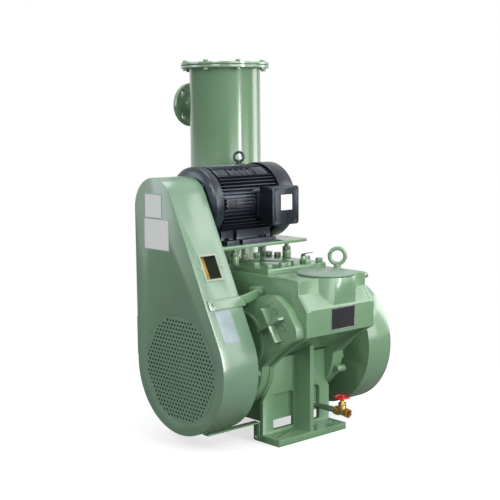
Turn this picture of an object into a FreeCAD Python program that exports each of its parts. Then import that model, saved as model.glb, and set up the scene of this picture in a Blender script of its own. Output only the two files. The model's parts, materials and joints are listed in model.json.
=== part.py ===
import FreeCAD, Part
import math
import os
from FreeCAD import Vector as V

os.makedirs("parts", exist_ok=True)

# Sizes in millimetres. X runs along the pump shaft towards the flywheel, Y towards the separator tank,
# Z up from the floor. All pieces are drawn with Y measured from the shaft and moved back once at the end.

# pump
SHAFT_Z = 285.0
FEET_MID_Y = 28.5
CASING_HALF = 166.0
FLANGE_T = 20.0
DECK_Z = 591.0
BORE_R = 118.0
FLANGE_R = 175.0
HEAD_T = 36.0
HEAD_X = CASING_HALF + HEAD_T
THROW = 9.0
SHAFT_R = 30.0
JOURNAL_R = 27.5
STUB_R = 25.0
PARTITION = 20.0
RUN_GAP = 0.05

# front block of the casing
WALL_Y = -311.5
PLUG = (WALL_Y + 12.5, 575.0)
WALL_LOW_Z = 543.5
BLOCK_Y = -352.5
BLOCK_TOP_Z = 492.0
BLOCK_LOW_Z = 402.5
REAR_Y = 215.0

# slide direction and hinge bars
SLIDE_ANGLE = 53.7
HINGE_DIST = 150.0
HINGE_R = 44.0
BLADE_T = 24.0
SLOT_HALF = 25.5
BLADE_LEN = 262.0

# feet
FOOT_X = CASING_HALF + 2.0
FOOT_T = 24.0
FOOT_OUT = 248.0
FOOT_DEPTH = 126.5
WEB_T = 16.0
WEB_IN = 147.5
FOOT_BOLT_X = 138.0
FOOT_BOLT_Y = 205.0
FOOT_HOLE_R = 9.0

# deck plate and inlet
PLATE_T = 18.0
INLET_X = 23.0
INLET_Y = -258.0
INLET_R = 70.0
BOSS_R = 105.0
DISC_R = 101.5
DISC_T = 6.0
EYE = (150.0, -192.0)

# tank
TANK_X = 145.0
TANK_Y = 412.0
TANK_R = 138.5
TANK_WALL = 6.0
TANK_TOP = 1343.0
TANK_BASE = 545.0
BASE_R = TANK_R + 19.5
OUTLET_R = TANK_R - 20.5
COVER_T = 10.0
COVER_R = TANK_R + 33.5
EXH_Z = TANK_TOP - 160.0
EXH_FACE = TANK_R + 79.5
EXH_T = 20.0
EXH_R = 87.5
EXH_BORE = 34.0
EXH_PCD_R = 70.0
EXH_HOLE_R = 9.5

# belt drive
GUARD_BACK = -HEAD_X - 73.0
GUARD_FACE = GUARD_BACK - 154.0
GUARD_R = 234.0
GUARD_TOP_R = 107.0
GUARD_TOP_Z = 824.0
SHEET = 2.5
GRILLE_R = 187.0
SHEAVE_R = 200.0
SMALL_R = 72.0
SHEAVE_X0 = GUARD_FACE + 29.0
SHEAVE_X1 = SHEAVE_X0 + 63.0
PULLEY_HUB_X = GUARD_BACK - 15.0
GROOVES = 3
GROOVE_PITCH = 19.0
BELT_H = 11.0

# motor
MOTOR_Y = 130.0
SHAFT_HEIGHT = 141.0
MPLATE_TOP = 686.0
MPLATE_T = 11.5
MOTOR_Z = MPLATE_TOP + SHAFT_HEIGHT
MOTOR_SHOULDER = GUARD_BACK + 10.0
MOTOR_END = MOTOR_SHOULDER + 393.0
MFOOT_Y = 108.0
FRAME_R = 118.0
FIN_R = 136.0
BELL_R = 134.0
REAR_BELL_R = 130.0
COWL_R = 140.2
TBOX_LOW = 66.0
TBOX_HIGH = 204.0
STUD_R = 8.0
SOCKET_H = 28.0

# flywheel and its guard
DRUM_X0 = HEAD_X + 68.0
DRUM_X1 = DRUM_X0 + 120.0
DRUM_R = 240.0
FLY_R = 212.0

# straps and housings
STRAP_Y = -140.0
HOUSING_L = 76.0
STRAP_Z = 70.5

A = math.radians(SLIDE_ANGLE)
DIR = (-math.sin(A), math.cos(A))
NRM = (math.cos(A), math.sin(A))
HINGE = (HINGE_DIST * DIR[0], SHAFT_Z + HINGE_DIST * DIR[1])


def box(x0, x1, y0, y1, z0, z1):
    return Part.makeBox(x1 - x0, y1 - y0, z1 - z0, V(x0, y0, z0))


def cyl(axis, c, r, a0, a1):
    h = a1 - a0
    if axis == "x":
        return Part.makeCylinder(r, h, V(a0, c[0], c[1]), V(1, 0, 0))
    if axis == "y":
        return Part.makeCylinder(r, h, V(c[0], a0, c[1]), V(0, 1, 0))
    return Part.makeCylinder(r, h, V(c[0], c[1], a0), V(0, 0, 1))


def cone(axis, c, r0, r1, a0, a1):
    h = a1 - a0
    if axis == "x":
        return Part.makeCone(r0, r1, h, V(a0, c[0], c[1]), V(1, 0, 0))
    if axis == "y":
        return Part.makeCone(r0, r1, h, V(c[0], a0, c[1]), V(0, 1, 0))
    return Part.makeCone(r0, r1, h, V(c[0], c[1], a0), V(0, 0, 1))


def tube(axis, c, ro, ri, a0, a1):
    return cyl(axis, c, ro, a0, a1).cut(cyl(axis, c, ri, a0 - 1, a1 + 1))


def place(axis, a, p, q):
    if axis == "x":
        return V(a, p, q)
    if axis == "y":
        return V(p, a, q)
    return V(p, q, a)


def outline(pts, radius, axis, a):
    """Closed wire through pts with rounded corners, in the plane across axis at a."""
    n = len(pts)
    radii = radius if isinstance(radius, (list, tuple)) else [radius] * n
    ends, mids = [], []
    for i in range(n):
        p = V(pts[i - 1][0], pts[i - 1][1], 0)
        c = V(pts[i][0], pts[i][1], 0)
        q = V(pts[(i + 1) % n][0], pts[(i + 1) % n][1], 0)
        u = (p - c)
        w = (q - c)
        lu, lw = u.Length, w.Length
        u.normalize()
        w.normalize()
        half = math.acos(max(-1.0, min(1.0, u.dot(w)))) / 2
        r = radii[i]
        if r <= 0 or half > 1.55:
            ends.append((c, c))
            mids.append(None)
            continue
        t = min(r / math.tan(half), 0.48 * min(lu, lw))
        r = t * math.tan(half)
        b = u + w
        b.normalize()
        mids.append(c + b * (r / math.sin(half) - r))
        ends.append((c + u * t, c + w * t))
    edges = []
    for i in range(n):
        s, e = ends[i]
        nxt = ends[(i + 1) % n][0]
        if mids[i] is not None:
            edges.append(Part.Arc(place(axis, a, s.x, s.y), place(axis, a, mids[i].x, mids[i].y),
                                  place(axis, a, e.x, e.y)).toShape())
        if (nxt - e).Length > 1e-6:
            edges.append(Part.makeLine(place(axis, a, e.x, e.y), place(axis, a, nxt.x, nxt.y)))
    return Part.Wire(edges)


def prism(axis, pts, a0, a1, radius=0):
    f = Part.Face(outline(pts, radius, axis, a0))
    return f.extrude(place(axis, a1 - a0, 0, 0))


def hexa(axis, c, flats, a0, a1):
    r = flats / math.sqrt(3)
    pts = [(c[0] + r * math.cos(math.radians(60 * k + 30)), c[1] + r * math.sin(math.radians(60 * k + 30)))
           for k in range(6)]
    return prism(axis, pts, a0, a1)


def join(shapes):
    s = shapes[0]
    if len(shapes) > 1:
        s = s.multiFuse(shapes[1:])
    return s.removeSplitter()


def cut(s, tools):
    return s.cut(Part.makeCompound(tools) if len(tools) > 1 else tools[0])


def turn(s, centre, axis, deg):
    t = s.copy()
    t.rotate(centre, axis, deg)
    return t


def mirror_x(s):
    return s.mirror(V(0, 0, 0), V(1, 0, 0))


def ring_pts(c, r, n, first=0.0):
    return [(c[0] + r * math.cos(math.radians(first + 360.0 * k / n)),
             c[1] + r * math.sin(math.radians(first + 360.0 * k / n))) for k in range(n)]


def hoop(ring_r, wire_r):
    """Round ring about Z whose section has eight sides."""
    pts = [V(p[0], 0, p[1]) for p in ring_pts((ring_r, 0), wire_r, 8, 22.5)]
    return Part.Face(Part.makePolygon(pts + pts[:1])).revolve(V(0, 0, 0), V(0, 0, 1), 360)


def save(name, shapes):
    if not isinstance(shapes, list):
        shapes = [shapes]
    solids = []
    for s in shapes:
        solids += s.Solids
    c = Part.makeCompound(solids) if len(solids) > 1 else solids[0]
    c = c.copy()
    c.translate(V(0, -FEET_MID_Y, 0))
    c.exportStep("parts/" + name + ".step")


def along(d, n=0.0):
    """Point in the YZ plane at distance d along the slide and n across it."""
    return (d * DIR[0] + n * NRM[0], SHAFT_Z + d * DIR[1] + n * NRM[1])


SC = (0.0, SHAFT_Z)

# casing
flange_pts = [(WALL_Y, DECK_Z), (WALL_Y, WALL_LOW_Z), (BLOCK_Y, BLOCK_TOP_Z), (BLOCK_Y, BLOCK_LOW_Z), (-338, 394),
              (-292, 367), (-212, 309), (-140, 250), (150, 262), (REAR_Y, 330), (REAR_Y, DECK_Z)]
body_pts = [(WALL_Y, DECK_Z), (WALL_Y, WALL_LOW_Z), (BLOCK_Y, BLOCK_TOP_Z), (BLOCK_Y, BLOCK_LOW_Z),
            (-334, BLOCK_LOW_Z), (-300, 388), (-200, 330), (-WEB_IN + FEET_MID_Y, 290),
            (-WEB_IN + FEET_MID_Y, 64), (WEB_IN + FEET_MID_Y, 64), (WEB_IN + FEET_MID_Y, 300),
            (REAR_Y, 345), (REAR_Y, DECK_Z)]
BODY_X = CASING_HALF - FLANGE_T
WEB_F = -WEB_IN + FEET_MID_Y
WEB_B = WEB_IN + FEET_MID_Y
body = prism("x", body_pts, -BODY_X, BODY_X)
flanges = []
for x0 in (-CASING_HALF, BODY_X):
    flanges.append(prism("x", flange_pts, x0, x0 + FLANGE_T, [3, 8, 8, 6, 6, 20, 30, 0, 0, 20, 6]))
    flanges.append(cyl("x", SC, FLANGE_R, x0, x0 + FLANGE_T))
boss = cyl("z", (INLET_X, INLET_Y), BOSS_R, 470, DECK_Z + 0.5)
under = prism("x", [(-380, 400), (-380, 560), (-366, 548), (-343, 486), (-343, 400)], -100, 150)
boss = boss.cut(under)
LUG_X = -CASING_HALF - 32
lug = prism("y", [(LUG_X, 524), (LUG_X, 556), (LUG_X + 38, 556), (LUG_X + 38, 524)], STRAP_Y, STRAP_Y + 36, [14, 14, 0, 0])
pad = cyl("z", EYE, 14, DECK_Z - 2, DECK_Z + 6)
casing = join([body] + flanges + [boss, lug, pad])
tools = []
for s in (-1, 1):
    x0, x1 = (PARTITION / 2, CASING_HALF + 1) if s > 0 else (-CASING_HALF - 1, -PARTITION / 2)
    tools.append(cyl("x", SC, BORE_R, x0, x1))
    tools.append(cyl("x", HINGE, HINGE_R, x0, x1))
    p = [along(168, -32), along(300, -32), along(300, 32), along(168, 32)]
    tools.append(prism("x", p, x0, x1))
tools.append(cyl("x", SC, SHAFT_R + 1.0, -PARTITION, PARTITION))
tools.append(cyl("z", (INLET_X, INLET_Y), INLET_R, 452, DECK_Z + 5))
tools.append(box(-118, 118, -60, 130, 450, DECK_Z + 5))
tools.append(box(30, 115, 120, REAR_Y + 5, 480, 550))
for x in (-92, -38, 38, 92):
    tools.append(cyl("z", (x, -25), 13, 380, 451))
jacket = box(-BODY_X + 14, BODY_X - 14, WEB_F + 14, WEB_B - 14, 74, 240).cut(cyl("x", SC, BORE_R + 13, -200, 200))
tools.append(jacket)
tools.append(cyl("y", (103, 84), 10.6, WEB_F - 1, WEB_F + 20))
casing = cut(casing, tools)
save("pump_casing", casing)

# pedestals
def pedestal():
    web = prism("y", [(-166, FOOT_T), (-166, 172), (-145.7, 172), (-145.7, 290), (145.7, 290), (145.7, 172),
                      (154, 165), (166, 150), (166, FOOT_T)], WEB_F - WEB_T, WEB_F - 0.02)
    for x0, x1 in ((-116, -14), (14, 116)):
        web = web.cut(prism("y", [(x0, 34), (x1, 34), (x1, 162), (x0, 162)], WEB_F - 30, WEB_F + 5, [2, 2, 17, 17]))
    web = web.cut(prism("y", [(-200, 100), (-200, 290), (-146, 290), (-146, 173)], WEB_F - 30, WEB_F + 5))
    for x0 in (-170.0, BODY_X - 0.2):
        web = web.cut(cyl("x", SC, FLANGE_R + 0.3, x0, x0 + 24.2))
    rib = prism("x", [(WEB_F - 1, FOOT_T - 1), (WEB_F - 93, FOOT_T - 1), (WEB_F - 93, 336), (-200, 329.8),
                      (WEB_F - 0.02, 289.8)], -9, 9, [0, 3, 3, 0, 0])
    rib = rib.cut(prism("x", [(-300, 388), (-200, 330), (WEB_F, 289.9), (WEB_F + 1, 500), (-300, 500)], -20, 20))
    foot = box(-FOOT_X, FOOT_X, -FOOT_OUT + FEET_MID_Y, -FOOT_OUT + FEET_MID_Y + FOOT_DEPTH, 0, FOOT_T)
    s = join([web, rib, foot])
    holes = [cyl("z", (x, FEET_MID_Y - FOOT_BOLT_Y), FOOT_HOLE_R, -1, FOOT_T + 1)
             for x in (-FOOT_BOLT_X, FOOT_BOLT_X)]
    return cut(s, holes)


save("front_pedestal", pedestal())
back_web = prism("y", [(-166, FOOT_T), (-166, 172), (-145.7, 172), (-145.7, 298), (145.7, 298), (145.7, 172),
                       (166, 150), (166, FOOT_T)], WEB_B + 0.02, WEB_B + WEB_T)
for x0, x1 in ((-116, -14), (14, 116)):
    back_web = back_web.cut(prism("y", [(x0, 34), (x1, 34), (x1, 162), (x0, 162)], WEB_B - 5, WEB_B + 30,
                                  [2, 2, 17, 17]))
back_web = back_web.cut(prism("x", [(WEB_B, 299.8), (REAR_Y, 344.8), (REAR_Y, 400), (WEB_B, 400)], -200, 200))
back_rib = prism("x", [(WEB_B + 1, FOOT_T - 1), (WEB_B + 93, FOOT_T - 1), (WEB_B + 38, 298), (WEB_B + 1, 298)], -9, 9)
back_foot = box(-FOOT_X, FOOT_X, FOOT_OUT + FEET_MID_Y - FOOT_DEPTH, FOOT_OUT + FEET_MID_Y, 0, FOOT_T)
back = join([back_web, back_rib, back_foot])
save("rear_pedestal", cut(back, [cyl("z", (x, FEET_MID_Y + FOOT_BOLT_Y), FOOT_HOLE_R, -1, FOOT_T + 1)
                                 for x in (-FOOT_BOLT_X, FOOT_BOLT_X)]))

# heads
left_lobe = [(-343, 402), (-338, 438), (-297, 497), (-240, 538), (-184, 535), (-112, 499), (-60, 440), (0, 400),
             (0, 285), (-150, 262), (-212, 316), (-290, 374)]
left = join([prism("x", left_lobe, -HEAD_X, -CASING_HALF, [18, 30, 40, 40, 40, 30, 30, 0, 0, 0, 30, 30]),
             cyl("x", SC, FLANGE_R - 3, -HEAD_X, -CASING_HALF)])
ring = tube("x", (-82, 364), 102, 91, -HEAD_X - 9, -HEAD_X + 1)
ring = ring.cut(cyl("x", SC, 86, -HEAD_X - 20, -HEAD_X + 5))
arm1 = prism("x", [(-196, 492), (-206, 486), (-268, 386), (-258, 382)], -HEAD_X - 28, -HEAD_X + 1)
arm2 = prism("x", [(-176, 416), (-180, 407), (-284, 464), (-280, 473)], -HEAD_X - 28, -HEAD_X + 1)
left = join([left, ring, arm1, arm2])
seat_l = [cyl("x", SC, SHAFT_R + 2, -HEAD_X - 1, -CASING_HALF + 1), cyl("x", SC, 56, -HEAD_X - 20, -HEAD_X + 10)]
save("left_head", cut(left, seat_l))
right_lobe = [(-288, 400), (-288, 446), (-262, 492), (-222, 522), (-184, 522), (-112, 490), (-60, 440), (0, 400),
              (0, 285), (-150, 262), (-212, 316)]
right = join([prism("x", right_lobe, CASING_HALF, HEAD_X, [18, 30, 30, 30, 30, 30, 30, 0, 0, 0, 30]),
              cyl("x", SC, FLANGE_R - 3, CASING_HALF, HEAD_X), cyl("x", (-170, 214), 13, CASING_HALF, HEAD_X + 4)])
seat_r = [cyl("x", SC, SHAFT_R + 2, CASING_HALF - 1, HEAD_X + 1), cyl("x", SC, 56, HEAD_X - 10, HEAD_X + 20)]
save("right_head", cut(right, seat_r))

# bearing housings, bearings and shaft seals
HOUSING_END = HEAD_X + HOUSING_L
housing = join([cyl("x", SC, 82, HEAD_X + 0.02, HEAD_X + 14), cyl("x", SC, 62, HEAD_X + 5, HOUSING_END),
                cyl("x", SC, 55.9, HEAD_X - 9.9, HEAD_X + 10)])
for k in range(4):
    rib = box(HEAD_X + 10, HEAD_X + 46, -4, 4, 60, 74)
    rib = turn(rib, V(0, 0, 0), V(1, 0, 0), 45 + 90 * k)
    rib.translate(V(0, 0, SHAFT_Z))
    housing = housing.fuse(rib)
housing = cut(housing.removeSplitter(), [cyl("x", SC, 50, HEAD_X - 11, HOUSING_END - 12),
                                         cyl("x", SC, 36, HEAD_X, HOUSING_END + 1)])
save("bearing_housings", [housing, mirror_x(housing)])
BRG_X0 = HEAD_X + 20
BRG_X1 = HEAD_X + 45
races = [tube("x", SC, 49.98, 44, BRG_X0, BRG_X1), tube("x", SC, 33.5, JOURNAL_R + 0.02, BRG_X0, BRG_X1)]
rollers = [cyl("x", c, 5.24, BRG_X0 + 3, BRG_X1 - 3) for c in ring_pts(SC, 38.75, 12)]
bearing = races + rollers
save("main_bearings", bearing + [mirror_x(b) for b in bearing])
seal = join([tube("x", SC, 35.95, 30, HOUSING_END - 11.5, HOUSING_END - 1),
             tube("x", SC, 31, STUB_R + RUN_GAP, HOUSING_END - 7, HOUSING_END - 3)])

# pump bolts: head bolts, housing bolts and the bolts of the deck plate
bolts = []
HEAD_BOLTS = [c for c in ring_pts(SC, 158, 14, 10)
              if not (c[0] < -40 and c[1] > 300)]
for c in HEAD_BOLTS:
    bolts.append(hexa("x", c, 24, -HEAD_X - 12, -HEAD_X - 0.02))
    bolts.append(hexa("x", c, 24, HEAD_X + 0.02, HEAD_X + 8))
LOBE_SCREWS = [(-240, 488), (-278, 437)]
LOBE_SCREWS_R = [(-216, 490), (-258, 437)]
for c in LOBE_SCREWS:
    bolts.append(cyl("x", c, 13, -HEAD_X - 4, -HEAD_X - 0.02).cut(hexa("x", c, 13, -HEAD_X - 5, -HEAD_X - 1)))
for c in LOBE_SCREWS_R:
    bolts.append(cyl("x", c, 13, HEAD_X + 0.02, HEAD_X + 4).cut(hexa("x", c, 13, HEAD_X + 1, HEAD_X + 5)))
for c in ring_pts(SC, 72, 6, 0):
    bolts.append(hexa("x", c, 14, HEAD_X + 14.02, HEAD_X + 22))
    bolts.append(hexa("x", c, 14, -HEAD_X - 22, -HEAD_X - 14.02))
PLATE_X0, PLATE_X1 = -137.0, 152.0
PLATE_Y0, PLATE_Y1 = -135.5, 168.0
DECK_BOLTS = [(x, PLATE_Y0 + 18) for x in (-118, -52, 8, 70, 132)]
DECK_BOLTS += [(x, PLATE_Y1 - 18) for x in (-118, -52, 8, 70, 132)]
DECK_BOLTS += [(-118, -50), (-118, 106), (136, -50), (136, 106)]
for c in DECK_BOLTS:
    bolts.append(hexa("z", c, 24, DECK_Z + PLATE_T + 0.02, DECK_Z + PLATE_T + 16))
STUDS = [(-119, 62), (141, 62), (-119, 198), (141, 198)]
SOCKET_TOP = DECK_Z + PLATE_T + SOCKET_H
for c in STUDS:
    bolts.append(hexa("z", c, 28, SOCKET_TOP + 0.02, SOCKET_TOP + 14).cut(
        cyl("z", c, STUD_R + RUN_GAP, SOCKET_TOP - 1, SOCKET_TOP + 20)))
save("pump_bolts", bolts)
save("side_plug", join([cyl("x", PLUG, 11.5, CASING_HALF + 0.05, CASING_HALF + 6),
                        hexa("x", PLUG, 17, CASING_HALF + 5, CASING_HALF + 21)]))

# deck plate, inlet cover, lifting eye
plate = prism("z", [(PLATE_X0, PLATE_Y0), (PLATE_X1, PLATE_Y0), (PLATE_X1, PLATE_Y1), (PLATE_X0, PLATE_Y1)],
              DECK_Z + 0.02, DECK_Z + PLATE_T, 6)
save("deck_plate", cut(plate, [cyl("z", (90, -78), 8, DECK_Z - 1, DECK_Z + PLATE_T + 1)]))
save("seals_and_gaskets", [seal, mirror_x(seal), tube("z", (INLET_X, INLET_Y), 96, INLET_R + 2, DECK_Z + 0.52, DECK_Z + 2.5),
                           tube("z", (TANK_X, TANK_Y), COVER_R - 2, TANK_R + 2, TANK_TOP - COVER_T - 2,
                                TANK_TOP - COVER_T)])
save("inlet_cover", cyl("z", (INLET_X, INLET_Y), DISC_R, DECK_Z + 2.52, DECK_Z + 2.5 + DISC_T))


def eyebolt(x, y, z, ring_r, wire_r, collar_r, collar_h, facing):
    t = turn(hoop(ring_r, wire_r), V(0, 0, 0), V(1, 0, 0), 90)
    t = turn(t, V(0, 0, 0), V(0, 0, 1), facing)
    t.translate(V(x, y, z + collar_h + ring_r + wire_r * 0.6))
    return join([cone("z", (x, y), collar_r, collar_r * 0.55, z, z + collar_h + wire_r), t])


save("pump_eyebolt", eyebolt(EYE[0], EYE[1], DECK_Z + 6.02, 28, 7.5, 13, 7, -42))

# discharge valves under the deck plate
VALVE_X = {"left": (-92, -38), "right": (38, 92)}
cages = []
for side, xs in VALVE_X.items():
    discs = []
    for x in xs:
        cage = cyl("z", (x, -25), 25, 450.02, 462).cut(cyl("z", (x, -25), 19.6, 449, 457))
        cage = cut(cage, [cyl("z", c, 4, 449, 470) for c in ring_pts((x, -25), 11, 4)])
        cages.append(cage)
        discs.append(cyl("z", (x, -25), 18, 450.05, 452.05))
    save("valve_discs_" + side, discs)
save("valve_cages", cages)

# discharge box and separator tank
BOX = (TANK_X - 150.0, TANK_X + 150.0, REAR_Y, TANK_Y + 152.0, 400.0, TANK_BASE)
dbox = prism("z", [(BOX[0], BOX[2] + 0.02), (BOX[1], BOX[2] + 0.02), (BOX[1], BOX[3]), (BOX[0], BOX[3])], BOX[4],
             BOX[5] - 0.02, [0, 0, 40, 40])
dbox = join([dbox, cyl("z", (TANK_X, TANK_Y), BASE_R, BOX[5] - 16, BOX[5] - 0.02)])
inner = box(BOX[0] + 10, BOX[1] - 10, BOX[2] + 12, BOX[3] - 12, BOX[4] + 10, BOX[5] - 14)
save("discharge_box", cut(dbox, [inner, cyl("z", (TANK_X, TANK_Y), OUTLET_R, BOX[5] - 30, BOX[5] + 1),
                                 box(30, 115, REAR_Y - 1, REAR_Y + 30, 480, 527)]))
TC = (TANK_X, TANK_Y)
FL = TANK_TOP - COVER_T - 2.0
shell = join([cyl("z", TC, TANK_R, TANK_BASE, FL - 1), cyl("z", TC, BASE_R, TANK_BASE, TANK_BASE + 14),
              cyl("z", TC, COVER_R, FL - 10, FL)])
neck = join([cyl("y", (TANK_X, EXH_Z), 38.2, TANK_Y + TANK_R - 60, TANK_Y + EXH_FACE - 5),
             cyl("y", (TANK_X, EXH_Z), EXH_R, TANK_Y + EXH_FACE - EXH_T, TANK_Y + EXH_FACE)])
shell = join([shell, neck])
cuts = [cyl("z", TC, TANK_R - TANK_WALL, TANK_BASE + 6, FL + 5), cyl("z", TC, OUTLET_R, TANK_BASE - 5, TANK_BASE + 10),
        cyl("y", (TANK_X, EXH_Z), EXH_BORE, TANK_Y + TANK_R - 40, TANK_Y + EXH_FACE + 5)]
cuts += [cyl("y", c, EXH_HOLE_R, TANK_Y + EXH_FACE - 20, TANK_Y + EXH_FACE + 5)
         for c in ring_pts((TANK_X, EXH_Z), EXH_PCD_R, 4, 45)]
save("tank_shell", cut(shell, cuts))
save("tank_cover", cyl("z", TC, COVER_R, TANK_TOP - COVER_T + 0.02, TANK_TOP))
fast = []
for c in ring_pts(TC, COVER_R - 11, 8, 22.5):
    fast.append(hexa("z", c, 17, TANK_TOP + 0.02, TANK_TOP + 8))
    fast.append(hexa("z", c, 17, FL - 20, FL - 10.02))
for c in ring_pts(TC, TANK_R + 10, 6, 30):
    fast.append(hexa("z", c, 14, TANK_BASE + 14.02, TANK_BASE + 22))
save("tank_bolts", fast)
save("demister", tube("z", TC, TANK_R - TANK_WALL - 0.2, 30, 1000, 1070))

# belt guard
TOP = (MOTOR_Y, GUARD_TOP_Z)


def guard_shape(grow, x0, x1):
    """Solid between two round ends and their outer tangents, grown or shrunk by grow."""
    r1, r2 = GUARD_R + grow, GUARD_TOP_R + grow
    dy, dz = TOP[0], TOP[1] - SHAFT_Z
    length = math.hypot(dy, dz)
    s = (GUARD_R - GUARD_TOP_R) / length
    k = math.sqrt(1 - s * s)
    uy, uz = dy / length, dz / length
    pts = []
    for side in (1, -1):
        ny, nz = uy * s + side * uz * k, uz * s - side * uy * k
        pts.append(((r1 * ny, SHAFT_Z + r1 * nz), (TOP[0] + r2 * ny, TOP[1] + r2 * nz)))
    (a, b), (c, d) = pts
    e = [Part.makeLine(V(x0, *a), V(x0, *b)),
         Part.Arc(V(x0, *b), V(x0, TOP[0] + r2 * uy, TOP[1] + r2 * uz), V(x0, *d)).toShape(),
         Part.makeLine(V(x0, *d), V(x0, *c)),
         Part.Arc(V(x0, *c), V(x0, -r1 * uy, SHAFT_Z - r1 * uz), V(x0, *a)).toShape()]
    return Part.Face(Part.Wire(e)).extrude(V(x1 - x0, 0, 0))


RISE = math.hypot(TOP[0], TOP[1] - SHAFT_Z)
LEAN = math.atan2(TOP[0], TOP[1] - SHAFT_Z)
SPREAD = math.asin((GUARD_R - GUARD_TOP_R) / RISE)
SLANT = math.degrees(LEAN + SPREAD)
FRONT_Y = -GUARD_R * math.cos(LEAN + SPREAD)
FRONT_Z = SHAFT_Z + GUARD_R * math.sin(LEAN + SPREAD)
REAR_TILT = LEAN - SPREAD
guard = guard_shape(0, GUARD_FACE, GUARD_BACK).cut(guard_shape(-SHEET, GUARD_FACE + SHEET, GUARD_BACK + 1))
guard = guard.cut(cyl("x", (-3, 280), GRILLE_R, GUARD_FACE - 5, GUARD_FACE + 5))
WIN = (GUARD_FACE + 41, GUARD_FACE + 107, -42.0, 42.0)


def on_slant(s, z):
    """Put a shape drawn flat in XZ at y 0 onto the slanted front of the guard, centred at height z."""
    y = FRONT_Y + (z - FRONT_Z) * math.tan(LEAN + SPREAD)
    t = turn(s, V(0, 0, 0), V(1, 0, 0), -SLANT)
    t.translate(V(0, y, z))
    return t


window_hole = on_slant(box(WIN[0], WIN[1], -10, 10, WIN[2], WIN[3]), 634)
save("belt_guard", guard.cut(window_hole))
gb = guard_shape(-SHEET - 0.02, GUARD_BACK - SHEET - 0.02, GUARD_BACK - 0.02)
slot_top = join([cyl("x", (MOTOR_Y, MOTOR_Z), 46, -300, -250), cyl("x", (MOTOR_Y, MOTOR_Z + 16), 46, -300, -250),
                 box(-300, -250, MOTOR_Y - 46, MOTOR_Y + 46, MOTOR_Z, MOTOR_Z + 16)])
save("guard_back_plate", cut(gb, [cyl("x", SC, 62.2, -300, -250), slot_top]))
grille = cyl("x", (-3, 280), GRILLE_R - 0.2, GUARD_FACE + 0.3, GUARD_FACE + 2.3)
gh = []
for i in range(-5, 6):
    for j in range(-5, 6):
        y, z = -3 + i * 30 + (15 if j % 2 else 0), 280 + j * 30
        if math.hypot(y + 3, z - 280) < GRILLE_R - 22:
            gh.append(box(GUARD_FACE - 3, GUARD_FACE + 5, y - 4, y + 4, z - 4, z + 4))
grille_rim = tube("x", (-3, 280), GRILLE_R + 8, GRILLE_R - 8, GUARD_FACE + SHEET + 0.02, GUARD_FACE + SHEET + 2.5)
save("grille", [join([grille.cut(Part.makeCompound(gh)), grille_rim.fuse(
    tube("x", (-3, 280), GRILLE_R - 0.2, GRILLE_R - 8, GUARD_FACE + 1, GUARD_FACE + SHEET + 2))])])
frame_w = join([box(WIN[0] - 6, WIN[1] + 6, -2.4, -0.1, WIN[2] - 6, WIN[3] + 6),
                box(WIN[0] - 19, WIN[1] + 19, -2.4, -0.1, -6, 6)]).cut(
    box(WIN[0] + 1, WIN[1] - 1, -10, 10, WIN[2] + 1, WIN[3] - 1))
save("window_frame", on_slant(frame_w, 634))
save("window_pane", on_slant(box(WIN[0] - 6, WIN[1] + 6, SHEET + 0.4, SHEET + 2.9, WIN[2] - 6, WIN[3] + 6), 634))

# straps and brackets that hold the guard
upper = on_slant(box(GUARD_FACE + 11, GUARD_BACK + 14, -5.2, -0.1, -18, 18), 517)
tail = prism("y", [(GUARD_BACK + 0.1, 500), (LUG_X + 30, 524), (LUG_X + 30, 556), (GUARD_BACK + 0.1, 534)], STRAP_Y - 5.5,
             STRAP_Y - 0.05, [0, 15.5, 15.5, 0])
low_strap = join([box(GUARD_BACK - 130, -FOOT_X - 0.3, -122, -94, STRAP_Z - 4, STRAP_Z),
                  box(-FOOT_X - 5.3, -FOOT_X - 0.3, -122, -94, 4, STRAP_Z)])
BR_X = GUARD_BACK + 0.02
side_b = join([box(BR_X, BR_X + 5, -160, -122, 212, 240), box(BR_X, -HEAD_X - 0.05, -138, -132, 212, 240),
               box(-HEAD_X - 5, -HEAD_X - 0.05, -138, -112, 212, 240)])
side_t = join([box(BR_X, BR_X + 5, 165, 200, 430, 480), box(BR_X, -CASING_HALF - 0.05, 180, 186, 430, 480),
               box(-CASING_HALF - 5, -CASING_HALF - 0.05, 180, 210, 430, 480)])
save("guard_brackets", [join([upper, tail]), low_strap, side_b, side_t])

# screws of the guards
REAR_EDGE = GUARD_R / math.cos(REAR_TILT) + (364 - SHAFT_Z) * math.tan(REAR_TILT)
screws = []
for x in (WIN[0] - 13, WIN[1] + 13):
    screws.append(on_slant(hexa("y", (x, 0), 8, -5, -2.42), 634))
screws.append(on_slant(hexa("y", (GUARD_FACE + 29, 0), 12, -11, -5.22), 517))
screws.append(hexa("y", (LUG_X + 14, 539), 13, STRAP_Y - 12, STRAP_Y - 5.52))
screws.append(hexa("x", (-108, 14), 13, -FOOT_X - 13, -FOOT_X - 5.32))
for z in (400, 330):
    screws.append(hexa("x", (-3 + math.sqrt(197 ** 2 - (z - 280) ** 2), z), 8, GUARD_FACE - 3, GUARD_FACE - 0.02))
screws.append(cyl("y", (GUARD_FACE + 17, 364), 7, REAR_EDGE + 4.2, REAR_EDGE + 16))
save("guard_screws", screws)

# plain plates
face = GUARD_FACE - 0.9
labels = [box(face, GUARD_FACE - 0.02, 82, 178, 792, 877), box(face, GUARD_FACE - 0.02, 44, 184, 683, 791.5),
          on_slant(box(GUARD_FACE + 29, GUARD_FACE + 97, -0.9, -0.05, -58, 58), 445)]
rear = [(GUARD_R / math.cos(REAR_TILT) + (z - SHAFT_Z) * math.tan(REAR_TILT), z) for z in (300, 434)]
labels.append(prism("x", [(rear[0][0] + 0.05, 300), (rear[0][0] + 3.7, 300), (rear[1][0] + 3.7, 434),
                          (rear[1][0] + 0.05, 434)], GUARD_FACE + 1, GUARD_FACE + 33))
labels.append(box(-50, 70, BLOCK_Y - 1.5, BLOCK_Y - 0.02, 413, 490.5))
save("blank_plates", labels)

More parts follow.
